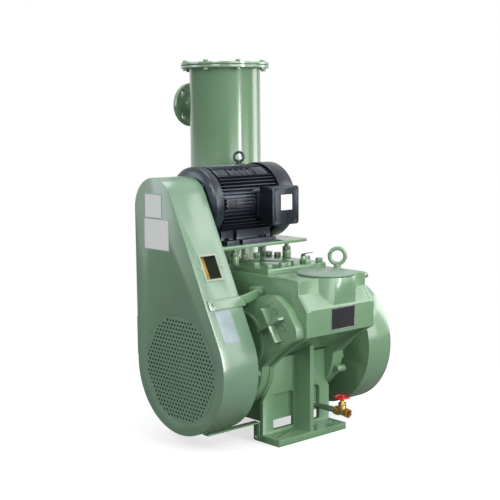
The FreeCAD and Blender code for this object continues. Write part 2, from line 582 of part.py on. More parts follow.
# flywheel guard
drum = cyl("x", SC, DRUM_R, DRUM_X0, DRUM_X1).cut(cyl("x", SC, DRUM_R - 3, DRUM_X0 + 3, DRUM_X1 - 3))
drum = drum.cut(cyl("x", SC, 62.2, DRUM_X0 - 5, DRUM_X0 + 5))
stand = join([box(HEAD_X + 0.05, HEAD_X + 6, -52, -10, 425, 447), box(HEAD_X + 1, DRUM_X0 + 1, -52, -10, 425, 431),
              box(HEAD_X + 0.05, HEAD_X + 6, 112, 146, 198, 226), box(HEAD_X + 1, DRUM_X0 + 1, 112, 146, 198, 204)])
save("flywheel_guard", join([drum, stand]))

# drain line
DX, DZ = 103.0, 84.0
pipe = tube("y", (DX, DZ), 10.5, 7.5, -240, WEB_F + 13.9)
pipe = join([pipe, tube("y", (DX, DZ), 12.8, 10, WEB_F - 8, WEB_F - 0.05)])
save("drain_pipe", pipe)
VY = -262.0
vbody = join([cyl("y", (DX, DZ), 13, VY - 30, VY + 30), hexa("y", (DX, DZ), 30, VY - 32, VY - 20),
              hexa("y", (DX, DZ), 30, VY + 18, VY + 32), cyl("z", (DX, VY), 15, DZ, DZ + 24),
              hexa("z", (DX, VY), 26, DZ + 24, DZ + 34), cyl("z", (DX, VY), 8, DZ + 34, DZ + 42)])
vbody = cut(vbody, [cyl("y", (DX, DZ), 10.55, VY + 19, VY + 40), cyl("y", (DX, DZ), 7.5, VY - 40, VY + 40),
                    cyl("y", (DX, DZ), 9.5, VY - 40, VY - 16),
                    cyl("z", (DX, VY), 10.5, DZ, DZ + 29), cyl("z", (DX, VY), 4.05, DZ, DZ + 60)])
save("drain_valve_body", vbody)
gate = join([cyl("y", (DX, DZ), 7.4, VY - 3.5, VY + 3.5), box(DX - 7.4, DX + 7.4, VY - 3.5, VY + 3.5, DZ, DZ + 8),
             cyl("z", (DX, VY), 7, DZ + 6, DZ + 12)]).cut(cyl("z", (DX, VY), 4.2, DZ + 1, DZ + 20))
save("drain_gate", gate)
wheel = hoop(25, 3.6)
wheel.translate(V(DX, VY, DZ + 54))
spokes = []
for k in range(5):
    sp = box(0, 25, -3, 3, -2, 2)
    sp = turn(sp, V(0, 0, 0), V(0, 0, 1), 72 * k + 18)
    sp.translate(V(DX, VY, DZ + 54))
    spokes.append(sp)
save("drain_handwheel", join([wheel] + spokes + [cyl("z", (DX, VY), 8, DZ + 49, DZ + 60),
                                                 cyl("z", (DX, VY), 4, DZ + 16, DZ + 52)]))

# ballast valve
BX, BY, BZ = 90.0, -78.0, DECK_Z + PLATE_T
save("ballast_valve_body", join([hexa("z", (BX, BY), 24, BZ + 0.05, BZ + 12), cyl("z", (BX, BY), 9, BZ + 12, BZ + 24),
                                 cyl("z", (BX, BY), 7.9, BZ - 14, BZ + 1)]))
save("ballast_lever", join([cyl("z", (BX, BY), 8, BZ + 24.05, BZ + 32),
                            prism("z", [(BX - 2, BY - 5), (BX + 48, BY - 4), (BX + 48, BY + 4), (BX - 2, BY + 5)],
                                  BZ + 28, BZ + 32, 2)]))

# studs that carry the motor plate, in sockets on the deck
PLATE_LOW = MPLATE_TOP - MPLATE_T
sockets, studs, nuts = [], [], []
for x, y in STUDS:
    z0 = DECK_Z + (PLATE_T if PLATE_X0 < x < PLATE_X1 and y < PLATE_Y1 else 0) + 0.05
    sockets.append(cyl("z", (x, y), 16, z0, SOCKET_TOP).cut(
        cyl("z", (x, y), STUD_R + RUN_GAP, SOCKET_TOP - SOCKET_H + 1, SOCKET_TOP + 1)))
    studs.append(cyl("z", (x, y), STUD_R, SOCKET_TOP - SOCKET_H + 6, MPLATE_TOP - 1))
    nuts.append(hexa("z", (x, y), 26, PLATE_LOW - 12, PLATE_LOW - 0.02).cut(
        cyl("z", (x, y), STUD_R + 0.02, PLATE_LOW - 20, PLATE_LOW + 1)))
save("stud_sockets", sockets)
save("adjusting_studs", studs)

# motor plate and motor
MX0, MX1 = MOTOR_SHOULDER + 13, MOTOR_SHOULDER + 433
MY0, MY1 = -20.5, 264.0
mplate = prism("z", [(MX0, MY0), (MX1, MY0), (MX1, MY1), (MX0, MY1)], MPLATE_TOP - MPLATE_T, MPLATE_TOP, 3)
mplate = cut(mplate, [cyl("z", c, STUD_R + 0.02, MPLATE_TOP - 20, MPLATE_TOP + 5) for c in STUDS])
save("motor_plate", mplate)
MC = (MOTOR_Y, MOTOR_Z)
BX0, BX1 = MOTOR_SHOULDER + 46, MOTOR_SHOULDER + 310
body_m = cyl("x", MC, FRAME_R, BX0 + 0.02, BX1 - 0.02)
fins = []
for ang in range(0, 360, 6):
    if 235 < ang < 305:
        continue
    fin_end = MOTOR_SHOULDER + 200 if 150 < ang < 210 else BX1 - 4
    fin = box(BX0 + 4, fin_end, FRAME_R - 2, FIN_R, -1.5, 1.5)
    fin = turn(fin, V(0, 0, 0), V(1, 0, 0), ang)
    fin.translate(V(0, MOTOR_Y, MOTOR_Z))
    fins.append(fin)
feet = []
for s in (-1, 1):
    for x0, x1 in ((MOTOR_SHOULDER + 62, MOTOR_SHOULDER + 117), (MOTOR_SHOULDER + 134, MOTOR_SHOULDER + 296)):
        y0, y1 = sorted((MOTOR_Y + s * 84, MOTOR_Y + s * 128))
        feet.append(box(x0, x1, y0, y1, MPLATE_TOP + 0.05, MPLATE_TOP + 16))
        y0, y1 = sorted((MOTOR_Y + s * 74, MOTOR_Y + s * 94))
        feet.append(box(x0, x1, y0, y1, MPLATE_TOP + 0.05, MOTOR_Z - 70))
box_pad = box(MOTOR_SHOULDER + 205, MOTOR_SHOULDER + 300, MOTOR_Y - 128, MOTOR_Y - 100, MPLATE_TOP + TBOX_LOW + 26,
              MPLATE_TOP + TBOX_HIGH - 26)
EYE_PAD_Z = MOTOR_Z + FIN_R + 2
eye_pad = box(MOTOR_SHOULDER + 215, MOTOR_SHOULDER + 247, MOTOR_Y - 16, MOTOR_Y + 16, MOTOR_Z + 110, EYE_PAD_Z)
motor = join([body_m] + fins + feet + [box_pad, eye_pad])
save("motor_frame", cut(motor, [cyl("x", MC, 100, BX0 - 5, BX1 + 5)] +
                        [cyl("z", (x, MOTOR_Y + s * MFOOT_Y), 6, MPLATE_TOP - 1, MPLATE_TOP + 20)
                         for x in (MOTOR_SHOULDER + 89, MOTOR_SHOULDER + 267) for s in (-1, 1)]))
SR = 19.0
bell = join([cone("x", MC, BELL_R - 18, BELL_R, MOTOR_SHOULDER, MOTOR_SHOULDER + 12),
             cyl("x", MC, BELL_R, MOTOR_SHOULDER + 12, BX0), cyl("x", MC, 99.9, BX0 - 2, BX0 + 8)])
bell = cut(bell, [cyl("x", MC, SR + 0.5, MOTOR_SHOULDER - 1, BX0 + 20), cyl("x", MC, 90, MOTOR_SHOULDER + 34, BX0 + 20),
                  cyl("x", MC, 40, MOTOR_SHOULDER + 10, BX0 + 20)])
save("drive_end_bell", bell)
bell2 = join([cyl("x", MC, REAR_BELL_R, BX1, BX1 + 16), cyl("x", MC, 60, BX1, BX1 + 28), cyl("x", MC, 99.9, BX1 - 8, BX1 + 2)])
bell2 = cut(bell2, [cyl("x", MC, 17.5, BX1 - 20, BX1 + 40), cyl("x", MC, 40, BX1 - 20, BX1 + 18),
                    cyl("x", MC, 90, BX1 - 20, BX1 - 0.5)])
save("fan_end_bell", bell2)
bear = []
for x0, r in ((MOTOR_SHOULDER + 11, SR), (BX1 - 4, 17.0)):
    bear += [tube("x", MC, 39.98, 34, x0, x0 + 21), tube("x", MC, r + 7, r + 0.02, x0, x0 + 21)]
    rb = (34 - r - 7) / 2 - 0.02
    bear += [cyl("x", c, rb, x0 + 4, x0 + 17) for c in ring_pts(MC, (34 + r + 7) / 2, 8)]
save("motor_bearings", bear)
cowl = join([cyl("x", MC, COWL_R, BX1 + 2, MOTOR_END - 10), cone("x", MC, COWL_R, COWL_R - 15, MOTOR_END - 10, MOTOR_END)])
cowl = cowl.cut(join([cyl("x", MC, COWL_R - 2, BX1 - 10, MOTOR_END - 10.5),
                      cone("x", MC, COWL_R - 2, COWL_R - 18, MOTOR_END - 10.6, MOTOR_END - 2.5)]))
slots = []
for r in (45, 70, 95):
    for k in range(8):
        sl = box(MOTOR_END - 12, MOTOR_END + 5, r - 9, r + 9, -5, 5)
        sl = turn(sl, V(0, 0, 0), V(1, 0, 0), 45 * k + r)
        sl.translate(V(0, MOTOR_Y, MOTOR_Z))
        slots.append(sl)
cowl = cowl.cut(Part.makeCompound(slots))
tabs = []
for k in range(4):
    tb = box(BX1 + 2, BX1 + 14, REAR_BELL_R - 1, COWL_R - 1, -12, 12)
    tb = turn(tb, V(0, 0, 0), V(1, 0, 0), 90 * k + 45)
    tb.translate(V(0, MOTOR_Y, MOTOR_Z))
    tabs.append(tb)
cowl = join([cowl] + tabs).cut(cyl("x", MC, REAR_BELL_R + 0.02, BX1 - 5, BX1 + 16))
save("fan_cowl", cowl)
TB = (MOTOR_SHOULDER + 209.0, MOTOR_SHOULDER + 337.0)
tz0, tz1 = MPLATE_TOP + TBOX_LOW, MPLATE_TOP + TBOX_HIGH
ty1 = MOTOR_Y - 128.02
tbox = prism("z", [(TB[0] + 6, ty1), (TB[1] - 40, ty1), (TB[1] - 2, ty1 - 40), (TB[1] - 2, ty1 - 62),
                   (TB[0] + 2, ty1 - 62)], tz0 + 2, tz1 - 2, 2)
tbox = tbox.cut(prism("z", [(TB[0] + 12, ty1 - 6), (TB[1] - 44, ty1 - 6), (TB[1] - 8, ty1 - 42), (TB[1] - 8, ty1 - 70),
                            (TB[0] + 8, ty1 - 70)], tz0 + 8, tz1 - 8))
gland = cyl("z", (TB[0] + 64, ty1 - 34), 16, tz0 - 14, tz0 + 4).cut(cyl("z", (TB[0] + 64, ty1 - 34), 11, tz0 - 20, tz0 + 12))
save("terminal_box", join([tbox.cut(cyl("z", (TB[0] + 64, ty1 - 34), 11, tz0 - 5, tz0 + 12)), gland]))
LID_MID = (TB[0] + TB[1]) / 2
LID_SCREWS = [(x, z) for x in (TB[0] + 13, TB[1] - 13) for z in (tz0 + 13, tz1 - 13)]
lid = prism("y", [(TB[0], tz0), (LID_MID - 10, tz0), (LID_MID - 3, tz0 + 6), (LID_MID + 3, tz0 + 6), (LID_MID + 10, tz0),
                  (TB[1], tz0), (TB[1], tz1), (TB[0], tz1)], ty1 - 76, ty1 - 62.02, [12, 2, 2, 2, 2, 12, 12, 12])
save("terminal_lid", cut(lid, [cyl("y", c, 4.5, ty1 - 80, ty1 - 72) for c in LID_SCREWS]))
save("motor_eyebolt", eyebolt(MOTOR_SHOULDER + 231, MOTOR_Y, EYE_PAD_Z + 0.02, 17, 5, 12, 5, -42))
for x in (MOTOR_SHOULDER + 89, MOTOR_SHOULDER + 267):
    for s in (-1, 1):
        c = (x, MOTOR_Y + s * MFOOT_Y)
        nuts.append(hexa("z", c, 19, MPLATE_TOP + 16.02, MPLATE_TOP + 24))
for c in ring_pts(MC, 100, 4, 45):
    nuts.append(hexa("x", c, 13, MOTOR_SHOULDER - 7, MOTOR_SHOULDER - 0.02))
for c in LID_SCREWS:
    nuts.append(cyl("y", c, 4, ty1 - 75.5, ty1 - 72.02))
save("motor_bolts", nuts)
save("stator", [tube("x", MC, 99.9, 62, MOTOR_SHOULDER + 90, MOTOR_SHOULDER + 260),
                tube("x", MC, 90, 66, MOTOR_SHOULDER + 66, MOTOR_SHOULDER + 89.98),
                tube("x", MC, 90, 66, MOTOR_SHOULDER + 260.02, MOTOR_SHOULDER + 284)])

# motor rotor
rotor = join([cyl("x", MC, SR, MOTOR_SHOULDER - 80, BX1 - 6), cyl("x", MC, 17, BX1 - 7, BX1 + 60),
              cyl("x", MC, 61.3, MOTOR_SHOULDER + 90, MOTOR_SHOULDER + 260)])
save("rotor_shaft", rotor)


def sheave(c, r, x0, x1, hub_r, bore, web):
    s = cyl("x", c, r, x0, x1)
    mid = (x0 + x1) / 2
    for k in range(GROOVES):
        g = mid + (k - (GROOVES - 1) / 2.0) * GROOVE_PITCH
        pts = [(g - 8, r + 1), (g + 8, r + 1), (g + 5, r - BELT_H - 3), (g - 5, r - BELT_H - 3)]
        w = Part.makePolygon([V(p[0], c[0], c[1] + p[1]) for p in pts + pts[:1]])
        ring = Part.Face(w).revolve(V(0, c[0], c[1]), V(1, 0, 0), 360)
        s = s.cut(ring)
    if web:
        for a0, a1 in ((x0 - 1, mid - 9), (mid + 9, x1 + 1)):
            s = s.cut(tube("x", c, r - 30, hub_r, a0, a1))
        s = cut(s, [cyl("x", p, 26, x0, x1) for p in ring_pts(c, (r - 30 + hub_r) / 2, 5, 18)])
    return s.cut(cyl("x", c, bore, x0 - 1, x1 + 1))


save("motor_pulley", join([sheave(MC, SMALL_R, SHEAVE_X0, SHEAVE_X1, 40, SR + 0.01, False),
                           tube("x", MC, 32, SR + 0.01, SHEAVE_X1 - 1, PULLEY_HUB_X)]))
blades = [tube("x", MC, 30, 17.01, BX1 + 32, BX1 + 60), tube("x", MC, 100, 29, BX1 + 32, BX1 + 35)]
for k in range(8):
    bl = box(BX1 + 34, BX1 + 60, 29, 112, -1.5, 1.5)
    bl = turn(bl, V(0, 0, 0), V(1, 0, 0), 45 * k)
    bl.translate(V(0, MOTOR_Y, MOTOR_Z))
    blades.append(bl)
save("cooling_fan", join(blades))

# belts
belts = []
dy, dz = MOTOR_Y, MOTOR_Z - SHAFT_Z
CL = math.hypot(dy, dz)


def belt_loop(r1, r2, x0, x1):
    s = (r1 - r2) / CL
    k = math.sqrt(1 - s * s)
    uy, uz = dy / CL, dz / CL
    pts = []
    for side in (1, -1):
        ny, nz = uy * s + side * uz * k, uz * s - side * uy * k
        pts.append(((r1 * ny, SHAFT_Z + r1 * nz), (MOTOR_Y + r2 * ny, MOTOR_Z + r2 * nz)))
    (a, b), (c, d) = pts
    e = [Part.makeLine(V(x0, *a), V(x0, *b)),
         Part.Arc(V(x0, *b), V(x0, MOTOR_Y + r2 * uy, MOTOR_Z + r2 * uz), V(x0, *d)).toShape(),
         Part.makeLine(V(x0, *d), V(x0, *c)),
         Part.Arc(V(x0, *c), V(x0, -r1 * uy, SHAFT_Z - r1 * uz), V(x0, *a)).toShape()]
    return Part.Face(Part.Wire(e)).extrude(V(x1 - x0, 0, 0))


mid = (SHEAVE_X0 + SHEAVE_X1) / 2
for k in range(GROOVES):
    g = mid + (k - (GROOVES - 1) / 2.0) * GROOVE_PITCH
    o = belt_loop(SHEAVE_R - 0.5, SMALL_R - 0.5, g - 5.0, g + 5.0)
    belts.append(o.cut(belt_loop(SHEAVE_R - BELT_H - 0.5, SMALL_R - BELT_H - 0.5, g - 8, g + 8)))
save("v_belts", belts)

# crankshaft, sheave and flywheel
SHAFT_L, SHAFT_RT = SHEAVE_X0 - 8, DRUM_X0 + 102
crank = [cyl("x", SC, SHAFT_R, -HEAD_X + 10, HEAD_X - 10), cyl("x", SC, JOURNAL_R, -BRG_X1 - 2, BRG_X1 + 2),
         cyl("x", SC, STUB_R, SHAFT_L, SHAFT_RT)]
ECC_R = BORE_R - THROW - 0.1 - 16.9
for s in (-1, 1):
    x0, x1 = (PARTITION / 2 + 2, CASING_HALF - 6) if s > 0 else (-CASING_HALF + 6, -PARTITION / 2 - 2)
    crank.append(cyl("x", (0, SHAFT_Z - s * THROW), ECC_R, x0, x1))
save("crankshaft", join(crank))
save("crank_sheave", sheave(SC, SHEAVE_R, SHEAVE_X0, SHEAVE_X1, 48, STUB_R + 0.01, True))
FLY_X0, FLY_X1 = DRUM_X0 + 30, DRUM_X0 + 90
fly = cut(cyl("x", SC, FLY_R, FLY_X0, FLY_X1), [tube("x", SC, FLY_R - 52, 55, FLY_X0 - 1, FLY_X0 + 16),
                                                tube("x", SC, FLY_R - 52, 55, FLY_X1 - 16, FLY_X1 + 1),
                                                cyl("x", SC, STUB_R + 0.01, FLY_X0 - 1, FLY_X1 + 1)])
save("flywheel", fly)

# pistons with their slides, and the hinge bars
for side, s in (("left", -1), ("right", 1)):
    x0, x1 = (PARTITION / 2 + 0.5, CASING_HALF - 0.5) if s > 0 else (-CASING_HALF + 0.5, -PARTITION / 2 - 0.5)
    cz = SHAFT_Z - s * THROW
    sleeve = cyl("x", (0, cz), BORE_R - THROW - 0.1, x0, x1)
    b = [along(90, -BLADE_T / 2), along(BLADE_LEN, -BLADE_T / 2), along(BLADE_LEN, BLADE_T / 2), along(90, BLADE_T / 2)]
    b = [(p[0], p[1] - s * THROW) for p in b]
    h = [along(122, -5), along(BLADE_LEN + 5, -5), along(BLADE_LEN + 5, 5), along(122, 5)]
    h = [(p[0], p[1] - s * THROW) for p in h]
    piston = join([sleeve, prism("x", b, x0, x1)])
    piston = cut(piston, [cyl("x", (0, cz), ECC_R + RUN_GAP, x0 - 1, x1 + 1), prism("x", h, x0 + 14, x1 - 14)])
    save("piston_" + side, piston)
    bar = cyl("x", HINGE, HINGE_R - RUN_GAP, x0, x1)
    g = [along(80, -SLOT_HALF), along(220, -SLOT_HALF), along(220, SLOT_HALF), along(80, SLOT_HALF)]
    save("hinge_bar_" + side, cut(bar, [prism("x", g, x0 - 1, x1 + 1), cyl("x", SC, BORE_R + 2.5, x0 - 1, x1 + 1)]))
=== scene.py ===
import bpy
import bmesh
import json
import math
from mathutils import Matrix, Vector
from mathutils.geometry import delaunay_2d_cdt


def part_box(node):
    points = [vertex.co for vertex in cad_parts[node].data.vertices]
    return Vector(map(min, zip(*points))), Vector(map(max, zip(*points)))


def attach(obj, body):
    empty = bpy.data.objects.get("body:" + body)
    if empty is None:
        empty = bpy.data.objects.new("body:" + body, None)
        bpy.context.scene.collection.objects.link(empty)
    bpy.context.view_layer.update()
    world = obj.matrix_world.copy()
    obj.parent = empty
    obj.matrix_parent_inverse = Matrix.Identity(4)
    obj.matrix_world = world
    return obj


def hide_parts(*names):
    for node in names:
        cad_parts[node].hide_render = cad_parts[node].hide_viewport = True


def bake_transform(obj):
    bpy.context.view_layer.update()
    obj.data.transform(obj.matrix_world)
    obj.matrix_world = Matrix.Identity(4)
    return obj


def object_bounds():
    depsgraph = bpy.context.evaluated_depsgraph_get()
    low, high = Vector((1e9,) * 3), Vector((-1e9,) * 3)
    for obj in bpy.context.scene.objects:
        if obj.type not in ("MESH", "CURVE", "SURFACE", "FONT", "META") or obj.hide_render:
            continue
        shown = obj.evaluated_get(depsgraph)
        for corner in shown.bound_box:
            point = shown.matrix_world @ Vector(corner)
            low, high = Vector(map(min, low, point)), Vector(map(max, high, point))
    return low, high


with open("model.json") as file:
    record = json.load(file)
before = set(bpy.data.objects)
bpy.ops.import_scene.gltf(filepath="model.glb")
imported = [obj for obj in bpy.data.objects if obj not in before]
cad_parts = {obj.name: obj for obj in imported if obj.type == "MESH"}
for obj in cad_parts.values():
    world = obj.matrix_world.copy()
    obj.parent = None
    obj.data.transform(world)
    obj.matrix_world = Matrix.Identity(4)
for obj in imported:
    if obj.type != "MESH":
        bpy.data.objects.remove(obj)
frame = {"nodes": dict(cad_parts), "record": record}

cad_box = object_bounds()
NODES = frame["nodes"]
TURN = 2 * math.pi

# colours, as linear values
SAGE = (0.168, 0.312, 0.170)
GUARD_SAGE = (0.172, 0.300, 0.196)
COVER_SAGE = (0.235, 0.345, 0.262)
MOTOR_BLACK = (0.006, 0.0075, 0.012)
BLUE_GLOSS = (0.74, 0.86, 1.0)
CAST_GREY = (0.16, 0.16, 0.165)
STEEL = (0.50, 0.51, 0.53)
ZINC = (0.62, 0.63, 0.65)
BRASS = (0.62, 0.38, 0.13)
RED = (0.62, 0.02, 0.025)
BELT = (0.55, 0.33, 0.05)
RUBBER = (0.012, 0.012, 0.012)
LABEL_WHITE = (0.86, 0.87, 0.85)
LABEL_EDGE = (0.45, 0.47, 0.45)
LABEL_GREY = (0.30, 0.36, 0.37)
LABEL_BLACK = (0.02, 0.02, 0.022)
FRAME_CREAM = (0.40, 0.44, 0.34)
COPPER_BROWN = (0.25, 0.09, 0.03)
GLASS_TINT = (0.93, 0.96, 0.94)

# the part of a noise's range that most of its values fall in
NOISE_LOW = 0.3
NOISE_HIGH = 0.7

# depths that bumps stand for, in metres
GRAIN_DEPTH = 0.001
FINE_DEPTH = 0.0004
RIB_DEPTH = 0.0008


# materials
def new_material(name):
    m = bpy.data.materials.new(name)
    m.use_nodes = True
    tree = m.node_tree
    shader = next(n for n in tree.nodes if n.type == "BSDF_PRINCIPLED")
    return m, tree, shader


def object_place(tree):
    return tree.nodes.new("ShaderNodeTexCoord").outputs["Object"]


def stretched(tree, coord, scale):
    mapping = tree.nodes.new("ShaderNodeMapping")
    mapping.inputs["Scale"].default_value = scale
    tree.links.new(coord, mapping.inputs["Vector"])
    return mapping.outputs["Vector"]


def noise(tree, coord, scale, detail=3.0, rough=0.5):
    n = tree.nodes.new("ShaderNodeTexNoise")
    n.inputs["Scale"].default_value = scale
    n.inputs["Detail"].default_value = detail
    n.inputs["Roughness"].default_value = rough
    tree.links.new(coord, n.inputs["Vector"])
    return n.outputs["Fac"]


def spread(tree, source, lo_out, hi_out, low=NOISE_LOW, high=NOISE_HIGH):
    """Map the range from low to high onto the range from lo_out to hi_out."""
    r = tree.nodes.new("ShaderNodeMapRange")
    r.inputs["From Min"].default_value = low
    r.inputs["From Max"].default_value = high
    r.inputs["To Min"].default_value = lo_out
    r.inputs["To Max"].default_value = hi_out
    tree.links.new(source, r.inputs["Value"])
    return r.outputs["Result"]


def tint(tree, factor, colour, dark, light):
    """Colour that drifts between a darker and a lighter tone of itself."""
    ramp = tree.nodes.new("ShaderNodeValToRGB")
    first, last = ramp.color_ramp.elements[0], ramp.color_ramp.elements[1]
    first.position = NOISE_LOW
    last.position = NOISE_HIGH
    first.color = tuple(c * dark for c in colour) + (1,)
    last.color = tuple(min(1, c * light) for c in colour) + (1,)
    tree.links.new(factor, ramp.inputs["Fac"])
    return ramp.outputs["Color"]


def bumps(tree, shader, heights):
    """Chain of bump nodes, one per (height output, strength, distance)."""
    normal = None
    for height, strength, distance in heights:
        b = tree.nodes.new("ShaderNodeBump")
        b.inputs["Strength"].default_value = strength
        b.inputs["Distance"].default_value = distance
        tree.links.new(height, b.inputs["Height"])
        if normal is not None:
            tree.links.new(normal, b.inputs["Normal"])
        normal = b.outputs["Normal"]
    tree.links.new(normal, shader.inputs["Normal"])


def surface(name, colour, rough, metal=0.0, grain=(60, 700), bump=(0.15, 0.12), vary=(0.93, 1.06),
            rough_vary=0.06, coat=0.0, spec=0.5, mottle=0.35, coat_ior=1.5, gloss_tint=(1, 1, 1)):
    """Paint, casting or metal with slow colour drift, a fine grain and uneven gloss."""
    m, tree, shader = new_material(name)
    coord = object_place(tree)
    slow = noise(tree, coord, 7.0, 4.0)
    mid = noise(tree, coord, grain[0], 4.0, 0.6)
    fine = noise(tree, coord, grain[1], 2.0)
    drift = tree.nodes.new("ShaderNodeMath")
    drift.operation = "ADD"
    tree.links.new(spread(tree, slow, 0.35 - mottle / 2, 0.8 - mottle / 2), drift.inputs[0])
    tree.links.new(spread(tree, mid, 0.0, mottle), drift.inputs[1])
    tree.links.new(tint(tree, drift.outputs[0], colour, vary[0], vary[1]), shader.inputs["Base Color"])
    tree.links.new(spread(tree, mid, rough - rough_vary, rough + rough_vary), shader.inputs["Roughness"])
    shader.inputs["Metallic"].default_value = metal
    shader.inputs["Specular IOR Level"].default_value = spec
    shader.inputs["Specular Tint"].default_value = gloss_tint + (1,)
    if coat:
        shader.inputs["Coat Weight"].default_value = coat
        shader.inputs["Coat Roughness"].default_value = 0.15
        shader.inputs["Coat IOR"].default_value = coat_ior
    bumps(tree, shader, [(mid, bump[0], GRAIN_DEPTH), (fine, bump[1], FINE_DEPTH)])
    return m


def brushed(name, colour, rough, stretch=(1, 1, 1)):
    """Metal with fine lines left by turning or grinding."""
    m, tree, shader = new_material(name)
    coord = object_place(tree)
    lines = noise(tree, stretched(tree, coord, stretch), 180.0, 3.0)
    slow = noise(tree, coord, 14.0, 3.0)
    tree.links.new(tint(tree, slow, colour, 0.82, 1.08), shader.inputs["Base Color"])
    tree.links.new(spread(tree, lines, rough - 0.07, rough + 0.1), shader.inputs["Roughness"])
    shader.inputs["Metallic"].default_value = 1.0
    bumps(tree, shader, [(lines, 0.12, FINE_DEPTH)])
    return m


def glass(name):
    """Clear sheet with faint smears."""
    m, tree, shader = new_material(name)
    smears = noise(tree, object_place(tree), 30.0, 3.0)
    tree.links.new(spread(tree, smears, 0.02, 0.12, 0.4, 0.8), shader.inputs["Roughness"])
    shader.inputs["Base Color"].default_value = GLASS_TINT + (1,)
    shader.inputs["Transmission Weight"].default_value = 1.0
    shader.inputs["IOR"].default_value = 1.1
    return m


def belt_look(name):
    """Tan fabric back of a V-belt with lines along its run."""
    m, tree, shader = new_material(name)
    coord = object_place(tree)
    lines = noise(tree, stretched(tree, coord, (1, 0.08, 0.08)), 700.0, 3.0)
    weave = noise(tree, coord, 900.0, 2.0)
    tree.links.new(tint(tree, lines, BELT, 0.55, 1.15), shader.inputs["Base Color"])
    tree.links.new(spread(tree, weave, 0.5, 0.75), shader.inputs["Roughness"])
    bumps(tree, shader, [(lines, 0.3, RIB_DEPTH), (weave, 0.2, FINE_DEPTH)])
    return m


MAT = {
    "casting": surface("green_casting", SAGE, 0.30, grain=(95, 520), bump=(0.16, 0.16), vary=(0.92, 1.06),
                       rough_vary=0.03, coat=0.6, mottle=0.08, spec=0.8, coat_ior=1.6),
    "sheet": surface("green_sheet", SAGE, 0.25, grain=(140, 900), bump=(0.04, 0.06), vary=(0.95, 1.05),
                     rough_vary=0.03, coat=1.0, mottle=0.03, spec=0.9, coat_ior=1.75),
    "guard": surface("guard_sheet", GUARD_SAGE, 0.30, grain=(140, 900), bump=(0.04, 0.10),
                     vary=(0.95, 1.05), rough_vary=0.03, coat=0.7, mottle=0.03, spec=0.8, coat_ior=1.6),
    "cover": surface("cover_green", COVER_SAGE, 0.30, grain=(120, 800), bump=(0.04, 0.06),
                     vary=(0.95, 1.04), rough_vary=0.02, mottle=0.05),
    "black": surface("motor_casting", MOTOR_BLACK, 0.32, grain=(120, 600), bump=(0.30, 0.22),
                     vary=(0.7, 1.5), coat=0.3, spec=0.9, gloss_tint=BLUE_GLOSS),
    "iron": surface("bare_casting", CAST_GREY, 0.55, metal=0.6, grain=(120, 600), bump=(0.3, 0.3)),
    "steel": brushed("turned_steel", STEEL, 0.34),
    "zinc": surface("zinc_plate", ZINC, 0.30, metal=1.0, grain=(200, 900), bump=(0.05, 0.05),
                    vary=(0.8, 1.1)),
    "brass": surface("cast_brass", BRASS, 0.34, metal=1.0, grain=(150, 700), bump=(0.3, 0.2),
                     vary=(0.75, 1.15)),
    "red": surface("red_enamel", RED, 0.26, grain=(150, 700), bump=(0.12, 0.08), vary=(0.85, 1.1),
                   coat=0.4),
    "belt": belt_look("belt_back"),
    "rubber": surface("rubber", RUBBER, 0.65, grain=(200, 900), bump=(0.2, 0.2), vary=(0.7, 1.4)),
    "plate": surface("label_white", LABEL_WHITE, 0.38, grain=(90, 900), bump=(0.02, 0.03),
                     vary=(0.97, 1.02)),
    "plate_edge": surface("label_edge", LABEL_EDGE, 0.40, grain=(90, 900), bump=(0.02, 0.03),
                          vary=(0.9, 1.1)),
    "grey_plate": brushed("label_grey", LABEL_GREY, 0.40, (5, 0.35, 0.35)),
    "cream": surface("frame_cream", FRAME_CREAM, 0.40, grain=(150, 900), bump=(0.03, 0.05),
                     vary=(0.9, 1.08)),
    "black_plate": surface("label_black", LABEL_BLACK, 0.3, grain=(150, 900), bump=(0.03, 0.05),
                           vary=(0.8, 1.3)),
    "glass": glass("window_glass"),
    "winding": surface("winding", COPPER_BROWN, 0.4, grain=(200, 900), bump=(0.4, 0.3)),
}

SLOT_LOOK = {"green_paint": "casting", "guard_green": "guard", "black_paint": "black", "cast_bare": "iron",
             "steel": "steel", "zinc": "zinc", "brass": "brass", "red_paint": "red", "belt_rubber": "belt",
             "gasket": "rubber", "black_plastic": "rubber", "clear": "glass", "white_label": "plate",
             "black_label": "black_plate", "alu": "steel", "winding": "winding"}

# nodes whose look is another one than their slot's
OWN_LOOK = {"inlet_cover": "cover", "window_frame": "cream", "guard_screws": "guard"}
SHEET_NODES = ("guard_back_plate", "flywheel_guard", "tank_shell", "tank_cover", "discharge_box",
               "motor_plate", "deck_plate", "guard_brackets")

# width of the rounding on each node's edges, in metres; nodes that aren't named stay sharp
EDGE = {"pump_casing": 0.004, "left_head": 0.004, "right_head": 0.004, "front_pedestal": 0.003,
        "rear_pedestal": 0.003, "deck_plate": 0.0015, "motor_plate": 0.0012, "discharge_box": 0.0015,
        "pump_bolts": 0.0018, "tank_bolts": 0.0014, "motor_bolts": 0.0012, "guard_screws": 0.0008,
        "guard_brackets": 0.001, "bearing_housings": 0.002, "tank_cover": 0.0012, "tank_shell": 0.001,
        "inlet_cover": 0.001, "belt_guard": 0.0009, "flywheel_guard": 0.0009, "terminal_lid": 0.002,
        "terminal_box": 0.0015, "motor_frame": 0.0008, "drive_end_bell": 0.003, "fan_end_bell": 0.002,
        "fan_cowl": 0.0006, "drain_valve_body": 0.0008, "drain_pipe": 0.0005, "adjusting_studs": 0.001,
        "stud_sockets": 0.0015, "side_plug": 0.001, "ballast_valve_body": 0.0008,
        "ballast_lever": 0.0008, "window_frame": 0.0004, "blank_plates": 0.0003}
SMOOTH_BELOW = math.radians(38)
ROUND_ABOVE = math.radians(40)
FLAT_BELOW = math.radians(0.6)
SAME_POINT = 0.00002


